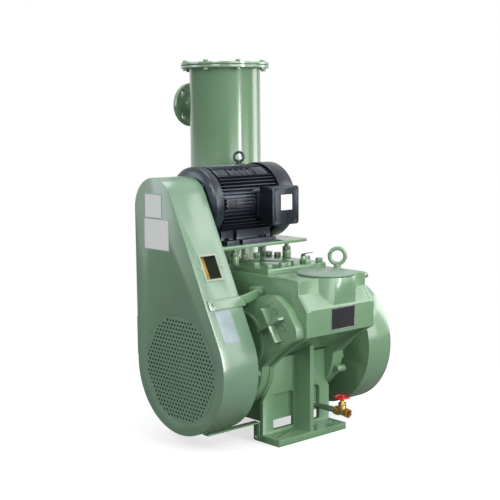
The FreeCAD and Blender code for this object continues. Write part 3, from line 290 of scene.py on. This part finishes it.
# shading and edges of the pieces
def angle_shading(limit):
    """Node group that shades faces as smooth, apart from the edges that turn by more than the limit."""
    g = bpy.data.node_groups.new("angle_shading", "GeometryNodeTree")
    g.interface.new_socket("Geometry", in_out="INPUT", socket_type="NodeSocketGeometry")
    g.interface.new_socket("Geometry", in_out="OUTPUT", socket_type="NodeSocketGeometry")
    start = g.nodes.new("NodeGroupInput")
    end = g.nodes.new("NodeGroupOutput")
    faces = g.nodes.new("GeometryNodeSetShadeSmooth")
    edges = g.nodes.new("GeometryNodeSetShadeSmooth")
    edges.domain = "EDGE"
    edges.inputs["Shade Smooth"].default_value = False
    angle = g.nodes.new("GeometryNodeInputMeshEdgeAngle")
    sharp = g.nodes.new("FunctionNodeCompare")
    sharp.operation = "GREATER_THAN"
    sharp.inputs["B"].default_value = limit
    g.links.new(angle.outputs["Unsigned Angle"], sharp.inputs["A"])
    g.links.new(start.outputs[0], faces.inputs["Geometry"])
    g.links.new(faces.outputs["Geometry"], edges.inputs["Geometry"])
    g.links.new(sharp.outputs["Result"], edges.inputs["Selection"])
    g.links.new(edges.outputs["Geometry"], end.inputs[0])
    return g


SHADING = angle_shading(SMOOTH_BELOW)


def finish_edges(obj, width=0, segments=2, flat=False):
    """Rounded edges and smooth shading, as modifiers only; flat joins the faces that lie in one plane."""
    weld = obj.modifiers.new("weld", "WELD")
    weld.merge_threshold = SAME_POINT
    if flat:
        merge = obj.modifiers.new("planar", "DECIMATE")
        merge.decimate_type = "DISSOLVE"
        merge.angle_limit = FLAT_BELOW
    if width:
        b = obj.modifiers.new("edges", "BEVEL")
        b.width = width
        b.segments = segments
        b.limit_method = "ANGLE"
        b.angle_limit = ROUND_ABOVE
    shade = obj.modifiers.new("shading", "NODES")
    shade.node_group = SHADING


def dress(node, look):
    NODES[node].data.materials.clear()
    NODES[node].data.materials.append(MAT[look])


for part in frame["record"]["subparts"]:
    dress(part["node"], SLOT_LOOK[part["material_slot"]])
for node, look in OWN_LOOK.items():
    dress(node, look)
for node in SHEET_NODES:
    dress(node, "sheet")
for node, obj in NODES.items():
    finish_edges(obj, EDGE.get(node, 0), flat=True)


# small tools for building pieces, in metres
def piece(name, bm, body, looks, slot, *stands_for):
    """Object from a mesh; it rides on the body, unless that is None, and replaces the named nodes."""
    mesh = bpy.data.meshes.new(name)
    bmesh.ops.recalc_face_normals(bm, faces=bm.faces)
    bm.to_mesh(mesh)
    bm.free()
    for look in looks:
        mesh.materials.append(MAT[look])
    o = bpy.data.objects.new(name, mesh)
    bpy.context.scene.collection.objects.link(o)
    if body:
        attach(o, body)
    for node in stands_for:
        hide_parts(node)
    return o


def ring_loft(bm, rings, closed=True):
    """Skin over rows of points, each row a closed loop."""
    rows = [[bm.verts.new(p) for p in r] for r in rings]
    last = len(rows) if closed else len(rows) - 1
    for i in range(last):
        a, b = rows[i], rows[(i + 1) % len(rows)]
        for k in range(len(a)):
            n = (k + 1) % len(a)
            bm.faces.new((a[k], a[n], b[n], b[k]))
    if not closed:
        bm.faces.new(rows[0])
        bm.faces.new(rows[-1][::-1])


def angles(count):
    return [TURN * k / count for k in range(count)]


def circle(centre, u, v, r, count):
    return [Vector(centre) + (Vector(u) * math.cos(t) + Vector(v) * math.sin(t)) * r for t in angles(count)]


def spin(bm, centre, axis, profile, count=48):
    """Solid turned about axis through centre; profile holds (distance along axis, radius)."""
    axis = Vector(axis).normalized()
    side = axis.orthogonal().normalized()
    other = axis.cross(side)
    rings = []
    for d, r in profile:
        rings.append([Vector(centre) + axis * d + (side * math.cos(t) + other * math.sin(t)) * r
                      for t in angles(count)])
    ring_loft(bm, rings, closed=False)


def tube_loop(bm, points, radii, sides=12):
    """Round tube along a closed loop of points, with one radius for each point."""
    rings = []
    for i, point in enumerate(points):
        along = (points[(i + 1) % len(points)] - points[i - 1]).normalized()
        ref = Vector((0, 0, 1)) if abs(along.z) < 0.9 else Vector((1, 0, 0))
        u = along.cross(ref).normalized()
        v = along.cross(u)
        rings.append([point + (u * math.cos(t) + v * math.sin(t)) * radii[i] for t in angles(sides)])
    ring_loft(bm, rings)


def islands(node):
    """Lowest corner, highest corner and points of each separate solid of a node."""
    mesh = NODES[node].data
    group = list(range(len(mesh.vertices)))

    def root(k):
        while group[k] != k:
            group[k] = group[group[k]]
            k = group[k]
        return k

    near_key = {}
    for v in mesh.vertices:
        key = tuple(round(c, 5) for c in v.co)
        if key in near_key:
            group[root(v.index)] = root(near_key[key])
        else:
            near_key[key] = v.index
    for e in mesh.edges:
        group[root(e.vertices[0])] = root(e.vertices[1])
    found = {}
    for v in mesh.vertices:
        found.setdefault(root(v.index), []).append(v.co)
    return [(Vector([min(p[i] for p in pts) for i in range(3)]),
             Vector([max(p[i] for p in pts) for i in range(3)]), pts) for pts in found.values()]


# perforated front of the belt guard
GRILLE_MID = Vector((0, -0.0315, 0.280))
GRILLE_EDGE = 0.1866
GRILLE_T = 0.0016
HOLE_PITCH = 0.0160
HOLE_R = 0.0046
HOLE_MARGIN = 0.0065
HOLE_SIDES = 10
EDGE_SIDES = 160
SHEET_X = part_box("belt_guard")[0].x + 0.0006


def perforated():
    """Round sheet with staggered round holes: its outline and all hole edges are triangulated at once."""
    flat = [Vector((GRILLE_EDGE * math.cos(t), GRILLE_EDGE * math.sin(t))) for t in angles(EDGE_SIDES)]
    loops = [list(range(EDGE_SIDES))]
    row_step = HOLE_PITCH * math.sqrt(3) / 2
    reach = int(GRILLE_EDGE / row_step) + 1
    for j in range(-reach, reach + 1):
        for i in range(-reach, reach + 1):
            y = (i + 0.5 * (j % 2)) * HOLE_PITCH
            z = j * HOLE_PITCH * math.sqrt(3) / 2
            if math.hypot(y, z) > GRILLE_EDGE - HOLE_MARGIN:
                continue
            first = len(flat)
            flat += [Vector((y + HOLE_R * math.cos(t), z + HOLE_R * math.sin(t)))
                     for t in angles(HOLE_SIDES)]
            loops.append(list(range(first, first + HOLE_SIDES)))
    edges = []
    for loop in loops:
        edges += [(loop[k], loop[(k + 1) % len(loop)]) for k in range(len(loop))]
    corners, _, faces, origin, _, _ = delaunay_2d_cdt(flat, edges, [], 1, 1e-6)
    hole_of = [{(k - EDGE_SIDES) // HOLE_SIDES for k in came if k >= EDGE_SIDES} for came in origin]
    bm = bmesh.new()
    verts = [bm.verts.new((SHEET_X, GRILLE_MID.y + p.x, GRILLE_MID.z + p.y)) for p in corners]
    for face in faces:
        inside_hole = set.intersection(*[hole_of[k] for k in face])
        if not inside_hole:
            bm.faces.new([verts[k] for k in face])
    return bm


grille = piece("perforated_front", perforated(), "pump", ["guard"], "guard_green", "grille")
thick = grille.modifiers.new("sheet", "SOLIDIFY")
thick.thickness = GRILLE_T
thick.offset = 0.0

# V-belts round both pulleys, built for where the motor stands now; the motor is raised to tighten them
SHAFT = Vector((0, -0.0285, 0.285))
MOTOR = Vector((0, 0.1015, 0.827))
BIG_R = 0.1995
SMALL_R = 0.0715
BELT_SHIFTS = (-0.019, 0.0, 0.019)
BELT_SECTION = [(-0.0062, 0.0), (0.0062, 0.0), (0.0066, -0.0012), (0.0044, -0.0108), (-0.0044, -0.0108),
                (-0.0066, -0.0012)]
BIG_STEPS = 56
SMALL_STEPS = 32
STRAIGHT_STEPS = 18
STRAIGHT_OVER = 0.1


def belt_path():
    """Points of a belt's back with their outward directions, round both pulleys."""
    gap = MOTOR - SHAFT
    lean = math.atan2(gap.z, gap.y)
    wrap = math.acos((BIG_R - SMALL_R) / gap.length)
    turns = [(SHAFT, lean + wrap + (TURN - 2 * wrap) * q / BIG_STEPS, BIG_R) for q in range(BIG_STEPS + 1)]
    turns += [(MOTOR, lean - wrap + 2 * wrap * q / SMALL_STEPS, SMALL_R) for q in range(SMALL_STEPS + 1)]
    points = [(c + Vector((0, math.cos(t) * r, math.sin(t) * r)), Vector((0, math.cos(t), math.sin(t))))
              for c, t, r in turns]
    path = []
    for q, (p, outward) in enumerate(points):
        nxt = points[(q + 1) % len(points)][0]
        path.append((p, outward))
        if (nxt - p).length > STRAIGHT_OVER:
            path += [(p.lerp(nxt, w / STRAIGHT_STEPS), outward) for w in range(1, STRAIGHT_STEPS)]
    return path


belts_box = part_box("v_belts")
belts_mid = (belts_box[0].x + belts_box[1].x) / 2
for k, shift in enumerate(BELT_SHIFTS):
    bm = bmesh.new()
    ring_loft(bm, [[p + Vector((belts_mid + shift + dx, 0, 0)) + outward * dn for dx, dn in BELT_SECTION]
                   for p, outward in belt_path()])
    belt = piece("v_belt_%d" % (k + 1), bm, None, ["belt"], "belt_rubber", "v_belts")
    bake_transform(belt)
    finish_edges(belt, 0.0006)


# lifting eyes
EYE_TURN = math.radians(-42)
EYE_POINTS = 56


def lifting_eye(name, node, body, look, slot, ring_r, wire_r, collar_r, collar_h):
    """Forged ring on a collar that narrows into it, standing where the node stands."""
    low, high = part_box(node)
    foot = Vector(((low.x + high.x) / 2, (low.y + high.y) / 2, low.z))
    facing = Vector((math.cos(EYE_TURN), math.sin(EYE_TURN), 0))
    middle = foot + Vector((0, 0, collar_h + ring_r + wire_r * 0.6))
    collar = [(0, collar_r * 0.94), (0.0012, collar_r), (collar_h * 0.45, collar_r),
              (collar_h * 0.62, collar_r * 0.93), (collar_h * 0.8, collar_r * 0.72),
              (collar_h + wire_r * 0.3, collar_r * 0.55), (collar_h + wire_r * 1.1, collar_r * 0.5)]
    bm = bmesh.new()
    tube_loop(bm, circle(middle, facing, (0, 0, 1), ring_r, EYE_POINTS), [wire_r] * EYE_POINTS, 18)
    spin(bm, foot, (0, 0, 1), collar)
    finish_edges(piece(name, bm, body, [look], slot, node))


lifting_eye("pump_lifting_eye", "pump_eyebolt", "pump", "casting", "green_paint",
            ring_r=0.028, wire_r=0.0072, collar_r=0.0135, collar_h=0.007)
lifting_eye("motor_lifting_eye", "motor_eyebolt", "carriage", "black", "black_paint",
            ring_r=0.017, wire_r=0.0049, collar_r=0.012, collar_h=0.005)

# handwheel of the drain valve
WHEEL_Z = 0.138
WHEEL_LOBES = 5
WHEEL_R = 0.0248
WHEEL_WAVE = 0.0013
RIM_R = 0.0034
RIM_WAVE = 0.0004
RIM_POINTS = 120
SPOKE_REACH = 0.025
SPOKE_DISH = 0.0016
SPOKE_TURN = math.radians(18)
# share of the reach, half width and half height along a spoke, and the outline of its section
SPOKE_ROWS = [(0.25, 0.0040, 0.0026), (0.5, 0.0028, 0.0019), (0.75, 0.0026, 0.0018), (0.98, 0.0034, 0.0022)]
SPOKE_SECTION = [(-1, -0.6), (-0.6, -1), (0.6, -1), (1, -0.6), (1, 0.6), (0.6, 1), (-0.6, 1), (-1, 0.6)]
HUB = [(-0.005, 0.0062), (-0.004, 0.0078), (0.0035, 0.0078), (0.0046, 0.0068)]
SPINDLE = [(-0.038, 0.0038), (-0.004, 0.0038)]
HUB_NUT = [(0.0046, 0.0058), (0.0049, 0.0062), (0.0058, 0.006), (0.006, 0.004)]

wheel_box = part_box("drain_handwheel")
hub = Vector(((wheel_box[0].x + wheel_box[1].x) / 2, (wheel_box[0].y + wheel_box[1].y) / 2, WHEEL_Z))
bm = bmesh.new()
rim = [hub + Vector((math.cos(t), math.sin(t), 0)) * (WHEEL_R + WHEEL_WAVE * math.cos(WHEEL_LOBES * t))
       for t in angles(RIM_POINTS)]
tube_loop(bm, rim, [RIM_R + RIM_WAVE * math.cos(WHEEL_LOBES * t) for t in angles(RIM_POINTS)], 14)
for t in angles(WHEEL_LOBES):
    outward = Vector((math.cos(t + SPOKE_TURN), math.sin(t + SPOKE_TURN), 0))
    across = Vector((-outward.y, outward.x, 0))
    spoke = []
    for share, half, rise in SPOKE_ROWS:
        mid = hub + outward * SPOKE_REACH * share - Vector((0, 0, SPOKE_DISH * (1 - share)))
        spoke.append([mid + across * half * a + Vector((0, 0, rise * b)) for a, b in SPOKE_SECTION])
    ring_loft(bm, spoke, closed=False)
spin(bm, hub, (0, 0, 1), HUB, 32)
spin(bm, hub, (0, 0, 1), SPINDLE, 24)
spin(bm, hub, (0, 0, 1), HUB_NUT, 6)
finish_edges(piece("handwheel_rim", bm, "handwheel", ["red"], "red_paint", "drain_handwheel"))

# lever of the ballast valve, bent up and out
LEVER_X = 0.090
LEVER_Y = -0.1065
LEVER_BOSS = [(0, 0.0076), (0.0006, 0.008), (0.003, 0.008), (0.0036, 0.0074)]
LEVER_NUT = [(0.0034, 0.0052), (0.0068, 0.0052), (0.0074, 0.0045)]
# distance from the pivot and height along the strip
LEVER_STRIP = [(-0.004, 0.0042), (0.004, 0.0042), (0.008, 0.0045), (0.0125, 0.006), (0.016, 0.0068),
               (0.030, 0.0072), (0.044, 0.0072), (0.048, 0.0071)]
STRIP_HALF = 0.0052
STRIP_TAPER = 0.0012
STRIP_TAPER_END = 0.02
STRIP_HALF_T = 0.0009

pivot = Vector((LEVER_X, LEVER_Y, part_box("ballast_lever")[0].z))
bm = bmesh.new()
spin(bm, pivot, (0, 0, 1), LEVER_BOSS, 32)
spin(bm, pivot, (0, 0, 1), LEVER_NUT, 6)
rows = []
for x, z in LEVER_STRIP:
    half = STRIP_HALF - STRIP_TAPER * min(1.0, abs(x) / STRIP_TAPER_END)
    rows.append([pivot + Vector((x, y, z + dz)) for y, dz in (
        (-half, -STRIP_HALF_T), (half, -STRIP_HALF_T), (half, STRIP_HALF_T), (-half, STRIP_HALF_T))])
ring_loft(bm, rows, closed=False)
finish_edges(piece("bent_lever", bm, "lever", ["black"], "black_paint", "ballast_lever"), 0.0004)


# nuts and screws of the motor: the lock nuts at the studs are green
NUT_REACH = 0.02
stud_mids = [(low + high) / 2 for low, high, _ in islands("adjusting_studs")]
bolt_mesh = NODES["motor_bolts"].data
bolt_mesh.materials[0] = MAT["black"]
bolt_mesh.materials.append(MAT["casting"])
for face in bolt_mesh.polygons:
    face.material_index = int(any((face.center.xy - mid.xy).length < NUT_REACH for mid in stud_mids))

# bare plates
LABEL_T = 0.0009
NAMEPLATE_T = 0.0015
REAR_PLATE_T = 0.0036
SUNK_SHARE = 0.6
FLAT_SPAN = 0.002
UPPER_LABEL_Z = 0.78
GUARD_END_X = -0.2
PLATE_LEVEL = 0.001


def plate(name, corners, lift, border, look, border_look):
    """Thin plate over four corners with a raised border; lift is its thickness vector."""
    a, b, c, d = [Vector(p) for p in corners]
    lift = Vector(lift)
    u = (b - a).normalized() * border
    v = (d - a).normalized() * border
    inner = (a + u + v, b - u + v, c - u - v, d + u - v)
    bm = bmesh.new()
    low = [bm.verts.new(p) for p in (a, b, c, d)]
    top = [bm.verts.new(p + lift) for p in (a, b, c, d)]
    edge = [bm.verts.new(p + lift) for p in inner]
    sunk = [bm.verts.new(p + lift * SUNK_SHARE) for p in inner]
    for k in range(4):
        n = (k + 1) % 4
        for outer, within in ((low, top), (top, edge), (edge, sunk)):
            bm.faces.new((outer[k], outer[n], within[n], within[k])).material_index = 1
    bm.faces.new(sunk)
    bm.faces.new(low[::-1]).material_index = 1
    finish_edges(piece(name, bm, "pump", [look, border_look], "white_label", "blank_plates"), 0.0002, 1)


for low, high, pts in islands("blank_plates"):
    if high.x - low.x < FLAT_SPAN:
        name = "guard_label_upper" if low.z > UPPER_LABEL_Z else "guard_label_lower"
        plate(name, [(high.x, low.y, low.z), (high.x, low.y, high.z), (high.x, high.y, high.z),
                     (high.x, high.y, low.z)], (-LABEL_T, 0, 0), 0.003, "plate", "plate_edge")
    elif low.x > GUARD_END_X:
        plate("casing_nameplate", [(low.x, high.y, low.z), (high.x, high.y, low.z),
                                   (high.x, high.y, high.z), (low.x, high.y, high.z)],
              (0, -NAMEPLATE_T, 0), 0.0035, "black_plate", "zinc")
    elif low.y > 0:
        a = min(pts, key=lambda p: (round(p.z, 4), p.y))
        b = min((p for p in pts if p.z > high.z - PLATE_LEVEL), key=lambda p: p.y)
        plate("rear_plate", [(low.x, a.y, low.z), (low.x, b.y, high.z), (high.x, b.y, high.z),
                             (high.x, a.y, low.z)], (0, REAR_PLATE_T, 0), 0.002, "zinc", "zinc")
    else:
        a = max((p for p in pts if p.z < low.z + PLATE_LEVEL), key=lambda p: p.y)
        b = max((p for p in pts if p.z > high.z - PLATE_LEVEL), key=lambda p: p.y)
        tilt = (Vector((0, b.y, b.z)) - Vector((0, a.y, a.z))).normalized()
        plate("slanted_plate", [(low.x, a.y, a.z), (high.x, a.y, a.z),
                                (high.x, b.y, b.z), (low.x, b.y, b.z)],
              Vector((0, -tilt.z, tilt.y)) * LABEL_T, 0.0025, "grey_plate", "grey_plate")

# weld beads of the tank
tank_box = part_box("tank_shell")
TANK_MID = Vector(((tank_box[0].x + tank_box[1].x) / 2, 0.3835, 0))
WALL_R = 0.1385
NECK_R = 0.0382
EXHAUST_Z = 1.183
FOOT_WELD_Z = tank_box[0].z + 0.0145
TOP_WELD_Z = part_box("tank_cover")[0].z - 0.0125
FLANGE_WELD_Y = tank_box[1].y - 0.0183


def bead(bm, points, size):
    """Welding bead with the ripple that its passes leave."""
    fine = [size * (1.0 + 0.16 * math.sin(k * 2.4) + 0.06 * math.sin(k * 0.7)) for k in range(len(points))]
    tube_loop(bm, points, fine, 8)


bm = bmesh.new()
for z in (FOOT_WELD_Z, TOP_WELD_Z):
    bead(bm, circle(TANK_MID + Vector((0, 0, z)), (1, 0, 0), (0, 1, 0), WALL_R + 0.0005, 300), 0.0026)
saddle = []
for t in angles(110):
    dx = (NECK_R + 0.0006) * math.cos(t)
    saddle.append(Vector((TANK_MID.x + dx, TANK_MID.y + math.sqrt(WALL_R ** 2 - dx ** 2) + 0.0004,
                          EXHAUST_Z + (NECK_R + 0.0006) * math.sin(t))))
bead(bm, saddle, 0.0028)
bead(bm, circle((TANK_MID.x, FLANGE_WELD_Y, EXHAUST_Z), (1, 0, 0), (0, 0, 1), NECK_R + 0.0004, 110), 0.0026)
finish_edges(piece("tank_welds", bm, "pump", ["sheet"], "green_paint"))

# raised pads and plate of the motor's frame
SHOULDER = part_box("drive_end_bell")[0].x
FIN_R = 0.136
PAD_FOOT_R = 0.117
# start and end along the motor, start and end angle, and how far the pad stands out of the fins
PADS = [(0.050, 0.103, 117, 131, 0.0012), (0.238, 0.290, 113, 132, 0.0012),
        (0.113, 0.228, 119, 131, 0.0005)]
BADGE_PAD = (0.056, 0.100, 170, 184, 0.001)
RIBS = 5
RIB_START = 0.115
RIB_STEP = 0.0263
RIB_W = 0.006


def shell_pad(bm, x0, x1, a0, a1, r0, r1, steps=8):
    """Pad that follows the round of the motor between two angles, measured from +Y upwards."""
    section = ((SHOULDER + x0, r0), (SHOULDER + x1, r0), (SHOULDER + x1, r1), (SHOULDER + x0, r1))
    rows = []
    for q in range(steps + 1):
        t = math.radians(a0 + (a1 - a0) * q / steps)
        outward = Vector((0, math.cos(t), math.sin(t)))
        rows.append([MOTOR + outward * r + Vector((x, 0, 0)) for x, r in section])
    ring_loft(bm, rows, closed=False)


bm = bmesh.new()
for x0, x1, a0, a1, proud in PADS:
    shell_pad(bm, x0, x1, a0, a1, PAD_FOOT_R, FIN_R + proud)
for k in range(RIBS):
    x = RIB_START + RIB_STEP * k
    shell_pad(bm, x, x + RIB_W, 117, 133, FIN_R - 0.002, FIN_R + 0.0024)
x0, x1, a0, a1, proud = BADGE_PAD
shell_pad(bm, x0, x1, a0, a1, PAD_FOOT_R, FIN_R + proud)
finish_edges(piece("motor_pads", bm, "carriage", ["black"], "black_paint"), 0.0012)
bm = bmesh.new()
shell_pad(bm, 0.060, 0.096, 172, 182, FIN_R + 0.0008, FIN_R + 0.0018)
finish_edges(piece("motor_plate_bare", bm, "carriage", ["black_plate"], "black_paint"), 0.0003, 1)

# bare label on the lid of the terminal box
LID_LABEL_X = (0.31, 0.74)
LID_LABEL_Z = (0.62, 0.22)
LID_LABEL_Y = (0.0001, -0.0005)
lid_low, lid_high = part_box("terminal_lid")
x0, x1 = [lid_low.x + (lid_high.x - lid_low.x) * share for share in LID_LABEL_X]
z0, z1 = [lid_high.z - (lid_high.z - lid_low.z) * share for share in LID_LABEL_Z]
bm = bmesh.new()
ring_loft(bm, [[Vector((x, lid_low.y + dy, z)) for x, z in ((x0, z0), (x1, z0), (x1, z1), (x0, z1))]
               for dy in LID_LABEL_Y], closed=False)
finish_edges(piece("lid_label", bm, "carriage", ["plate"], "white_label"), 0.0002, 1)

# camera at the photograph's viewing angle
CAM = Vector((-2.7195, -2.9431, 1.1587))
FORWARD = Vector((0.6632, 0.7378, -0.1254)).normalized()
ROLL = math.radians(-0.43)
FOCAL_PX = 1106.11
FRAME_PX = 500.0
SENSOR_MM = 36.0
level_right = FORWARD.cross(Vector((0, 0, 1))).normalized()
level_up = level_right.cross(FORWARD)
right = level_right * math.cos(ROLL) + level_up * math.sin(ROLL)
up = level_up * math.cos(ROLL) - level_right * math.sin(ROLL)
cam_data = bpy.data.cameras.new("camera")
cam = bpy.data.objects.new("camera", cam_data)
bpy.context.scene.collection.objects.link(cam)
cam.matrix_world = Matrix(((right.x, up.x, -FORWARD.x, CAM.x), (right.y, up.y, -FORWARD.y, CAM.y),
                           (right.z, up.z, -FORWARD.z, CAM.z), (0, 0, 0, 1)))
cam_data.sensor_width = SENSOR_MM
cam_data.lens = FOCAL_PX * SENSOR_MM / FRAME_PX
cam_data.clip_end = 60.0
bpy.context.scene.camera = cam


# light
def lamp(name, place, target, size, watts, colour=(1, 1, 1)):
    """Soft box at a place, turned to its target."""
    data = bpy.data.lights.new(name, "AREA")
    data.shape = "RECTANGLE"
    data.size, data.size_y = size
    data.energy = watts
    data.color = colour
    o = bpy.data.objects.new(name, data)
    bpy.context.scene.collection.objects.link(o)
    o.location = place
    o.rotation_mode = "QUATERNION"
    o.rotation_quaternion = (Vector(target) - Vector(place)).to_track_quat("-Z", "Y")


lamp("key", (-0.85, -3.65, 1.75), (0.145, 0.38, 1.1), (2.0, 2.4), 36)
lamp("strip", (0.60, -3.60, 1.75), (0.145, 0.38, 1.1), (0.34, 3.0), 64)
lamp("front_right", (2.1, -3.1, 1.7), (0.145, 0.38, 1.0), (1.3, 2.4), 15)
lamp("front_left", (-3.2, -1.2, 2.6), (-0.2, 0.0, 0.8), (1.3, 1.3), 26)
lamp("over", (0.2, 0.4, 3.6), (0.1, 0.1, 0.6), (1.6, 1.6), 24)
lamp("right", (2.5, -1.9, 2.5), (0.2, 0.0, 0.6), (1.3, 1.3), 12)
lamp("right_low", (3.2, -0.6, 1.2), (0.2, 0.0, 0.5), (1.4, 1.6), 16)
lamp("left", (-3.0, 2.6, 1.9), (-0.3, 0.0, 0.8), (1.6, 1.8), 20, (0.84, 0.93, 1.0))


def seen_rays(tree):
    """One where the ray is seen directly or through glass."""
    path = tree.nodes.new("ShaderNodeLightPath")
    either = tree.nodes.new("ShaderNodeMath")
    either.operation = "MAXIMUM"
    tree.links.new(path.outputs["Is Camera Ray"], either.inputs[0])
    tree.links.new(path.outputs["Is Transmission Ray"], either.inputs[1])
    return either.outputs[0]


def glossy_rays(tree):
    return tree.nodes.new("ShaderNodeLightPath").outputs["Is Glossy Ray"]


def mixed(tree, factor, a, b):
    m = tree.nodes.new("ShaderNodeMixShader")
    tree.links.new(factor, m.inputs["Fac"])
    tree.links.new(a.outputs[0], m.inputs[1])
    tree.links.new(b.outputs[0], m.inputs[2])
    return m


def background(tree, strength):
    b = tree.nodes.new("ShaderNodeBackground")
    b.inputs["Color"].default_value = (1, 1, 1, 1)
    b.inputs["Strength"].default_value = strength
    return b


def diffuse(tree, level):
    d = tree.nodes.new("ShaderNodeBsdfDiffuse")
    d.inputs["Color"].default_value = (level, level, level, 1)
    return d


def glow(tree, strength):
    e = tree.nodes.new("ShaderNodeEmission")
    e.inputs["Strength"].default_value = strength
    return e


# world: white where it is seen, dimmer where it lights the part
WORLD_LIGHT = 0.52
WORLD_GLOSS = 0.72
world = bpy.data.worlds.new("studio")
bpy.context.scene.world = world
world.use_nodes = True
wt = world.node_tree
wt.nodes.clear()
world_out = wt.nodes.new("ShaderNodeOutputWorld")
unseen = mixed(wt, glossy_rays(wt), background(wt, WORLD_LIGHT), background(wt, WORLD_GLOSS))
room = mixed(wt, seen_rays(wt), unseen, background(wt, 1.0))
wt.links.new(room.outputs[0], world_out.inputs["Surface"])
bpy.context.scene.view_settings.view_transform = "Standard"

# floor: white where it is seen, with the shadow of the pump near its feet
FLOOR_HALF = 14.0
FLOOR_DROP = 0.0005
FLOOR_GREY = 0.55
FLOOR_GLOW = 0.62
FLOOR_BOUNCE = 0.18
SHADOW_NEAR = 0.6
SHADOW_FAR = 1.5
floor_mesh = bpy.data.meshes.new("floor")
bm = bmesh.new()
bmesh.ops.create_grid(bm, x_segments=8, y_segments=8, size=FLOOR_HALF)
bm.to_mesh(floor_mesh)
bm.free()
floor = bpy.data.objects.new("floor", floor_mesh)
bpy.context.scene.collection.objects.link(floor)
floor.location.z = cad_box[0].z - FLOOR_DROP
fm = bpy.data.materials.new("floor_white")
fm.use_nodes = True
ft = fm.node_tree
ft.nodes.clear()
floor_out = ft.nodes.new("ShaderNodeOutputMaterial")
near = ft.nodes.new("ShaderNodeAddShader")
ft.links.new(diffuse(ft, FLOOR_GREY).outputs[0], near.inputs[0])
ft.links.new(glow(ft, FLOOR_GLOW).outputs[0], near.inputs[1])
reach = ft.nodes.new("ShaderNodeVectorMath")
reach.operation = "LENGTH"
ft.links.new(object_place(ft), reach.inputs[0])
far = spread(ft, reach.outputs["Value"], 0.0, 1.0, SHADOW_NEAR, SHADOW_FAR)
white = mixed(ft, far, near, glow(ft, 1.0))
ground = mixed(ft, seen_rays(ft), diffuse(ft, FLOOR_BOUNCE), white)
ft.links.new(ground.outputs[0], floor_out.inputs["Surface"])
floor_mesh.materials.append(fm)
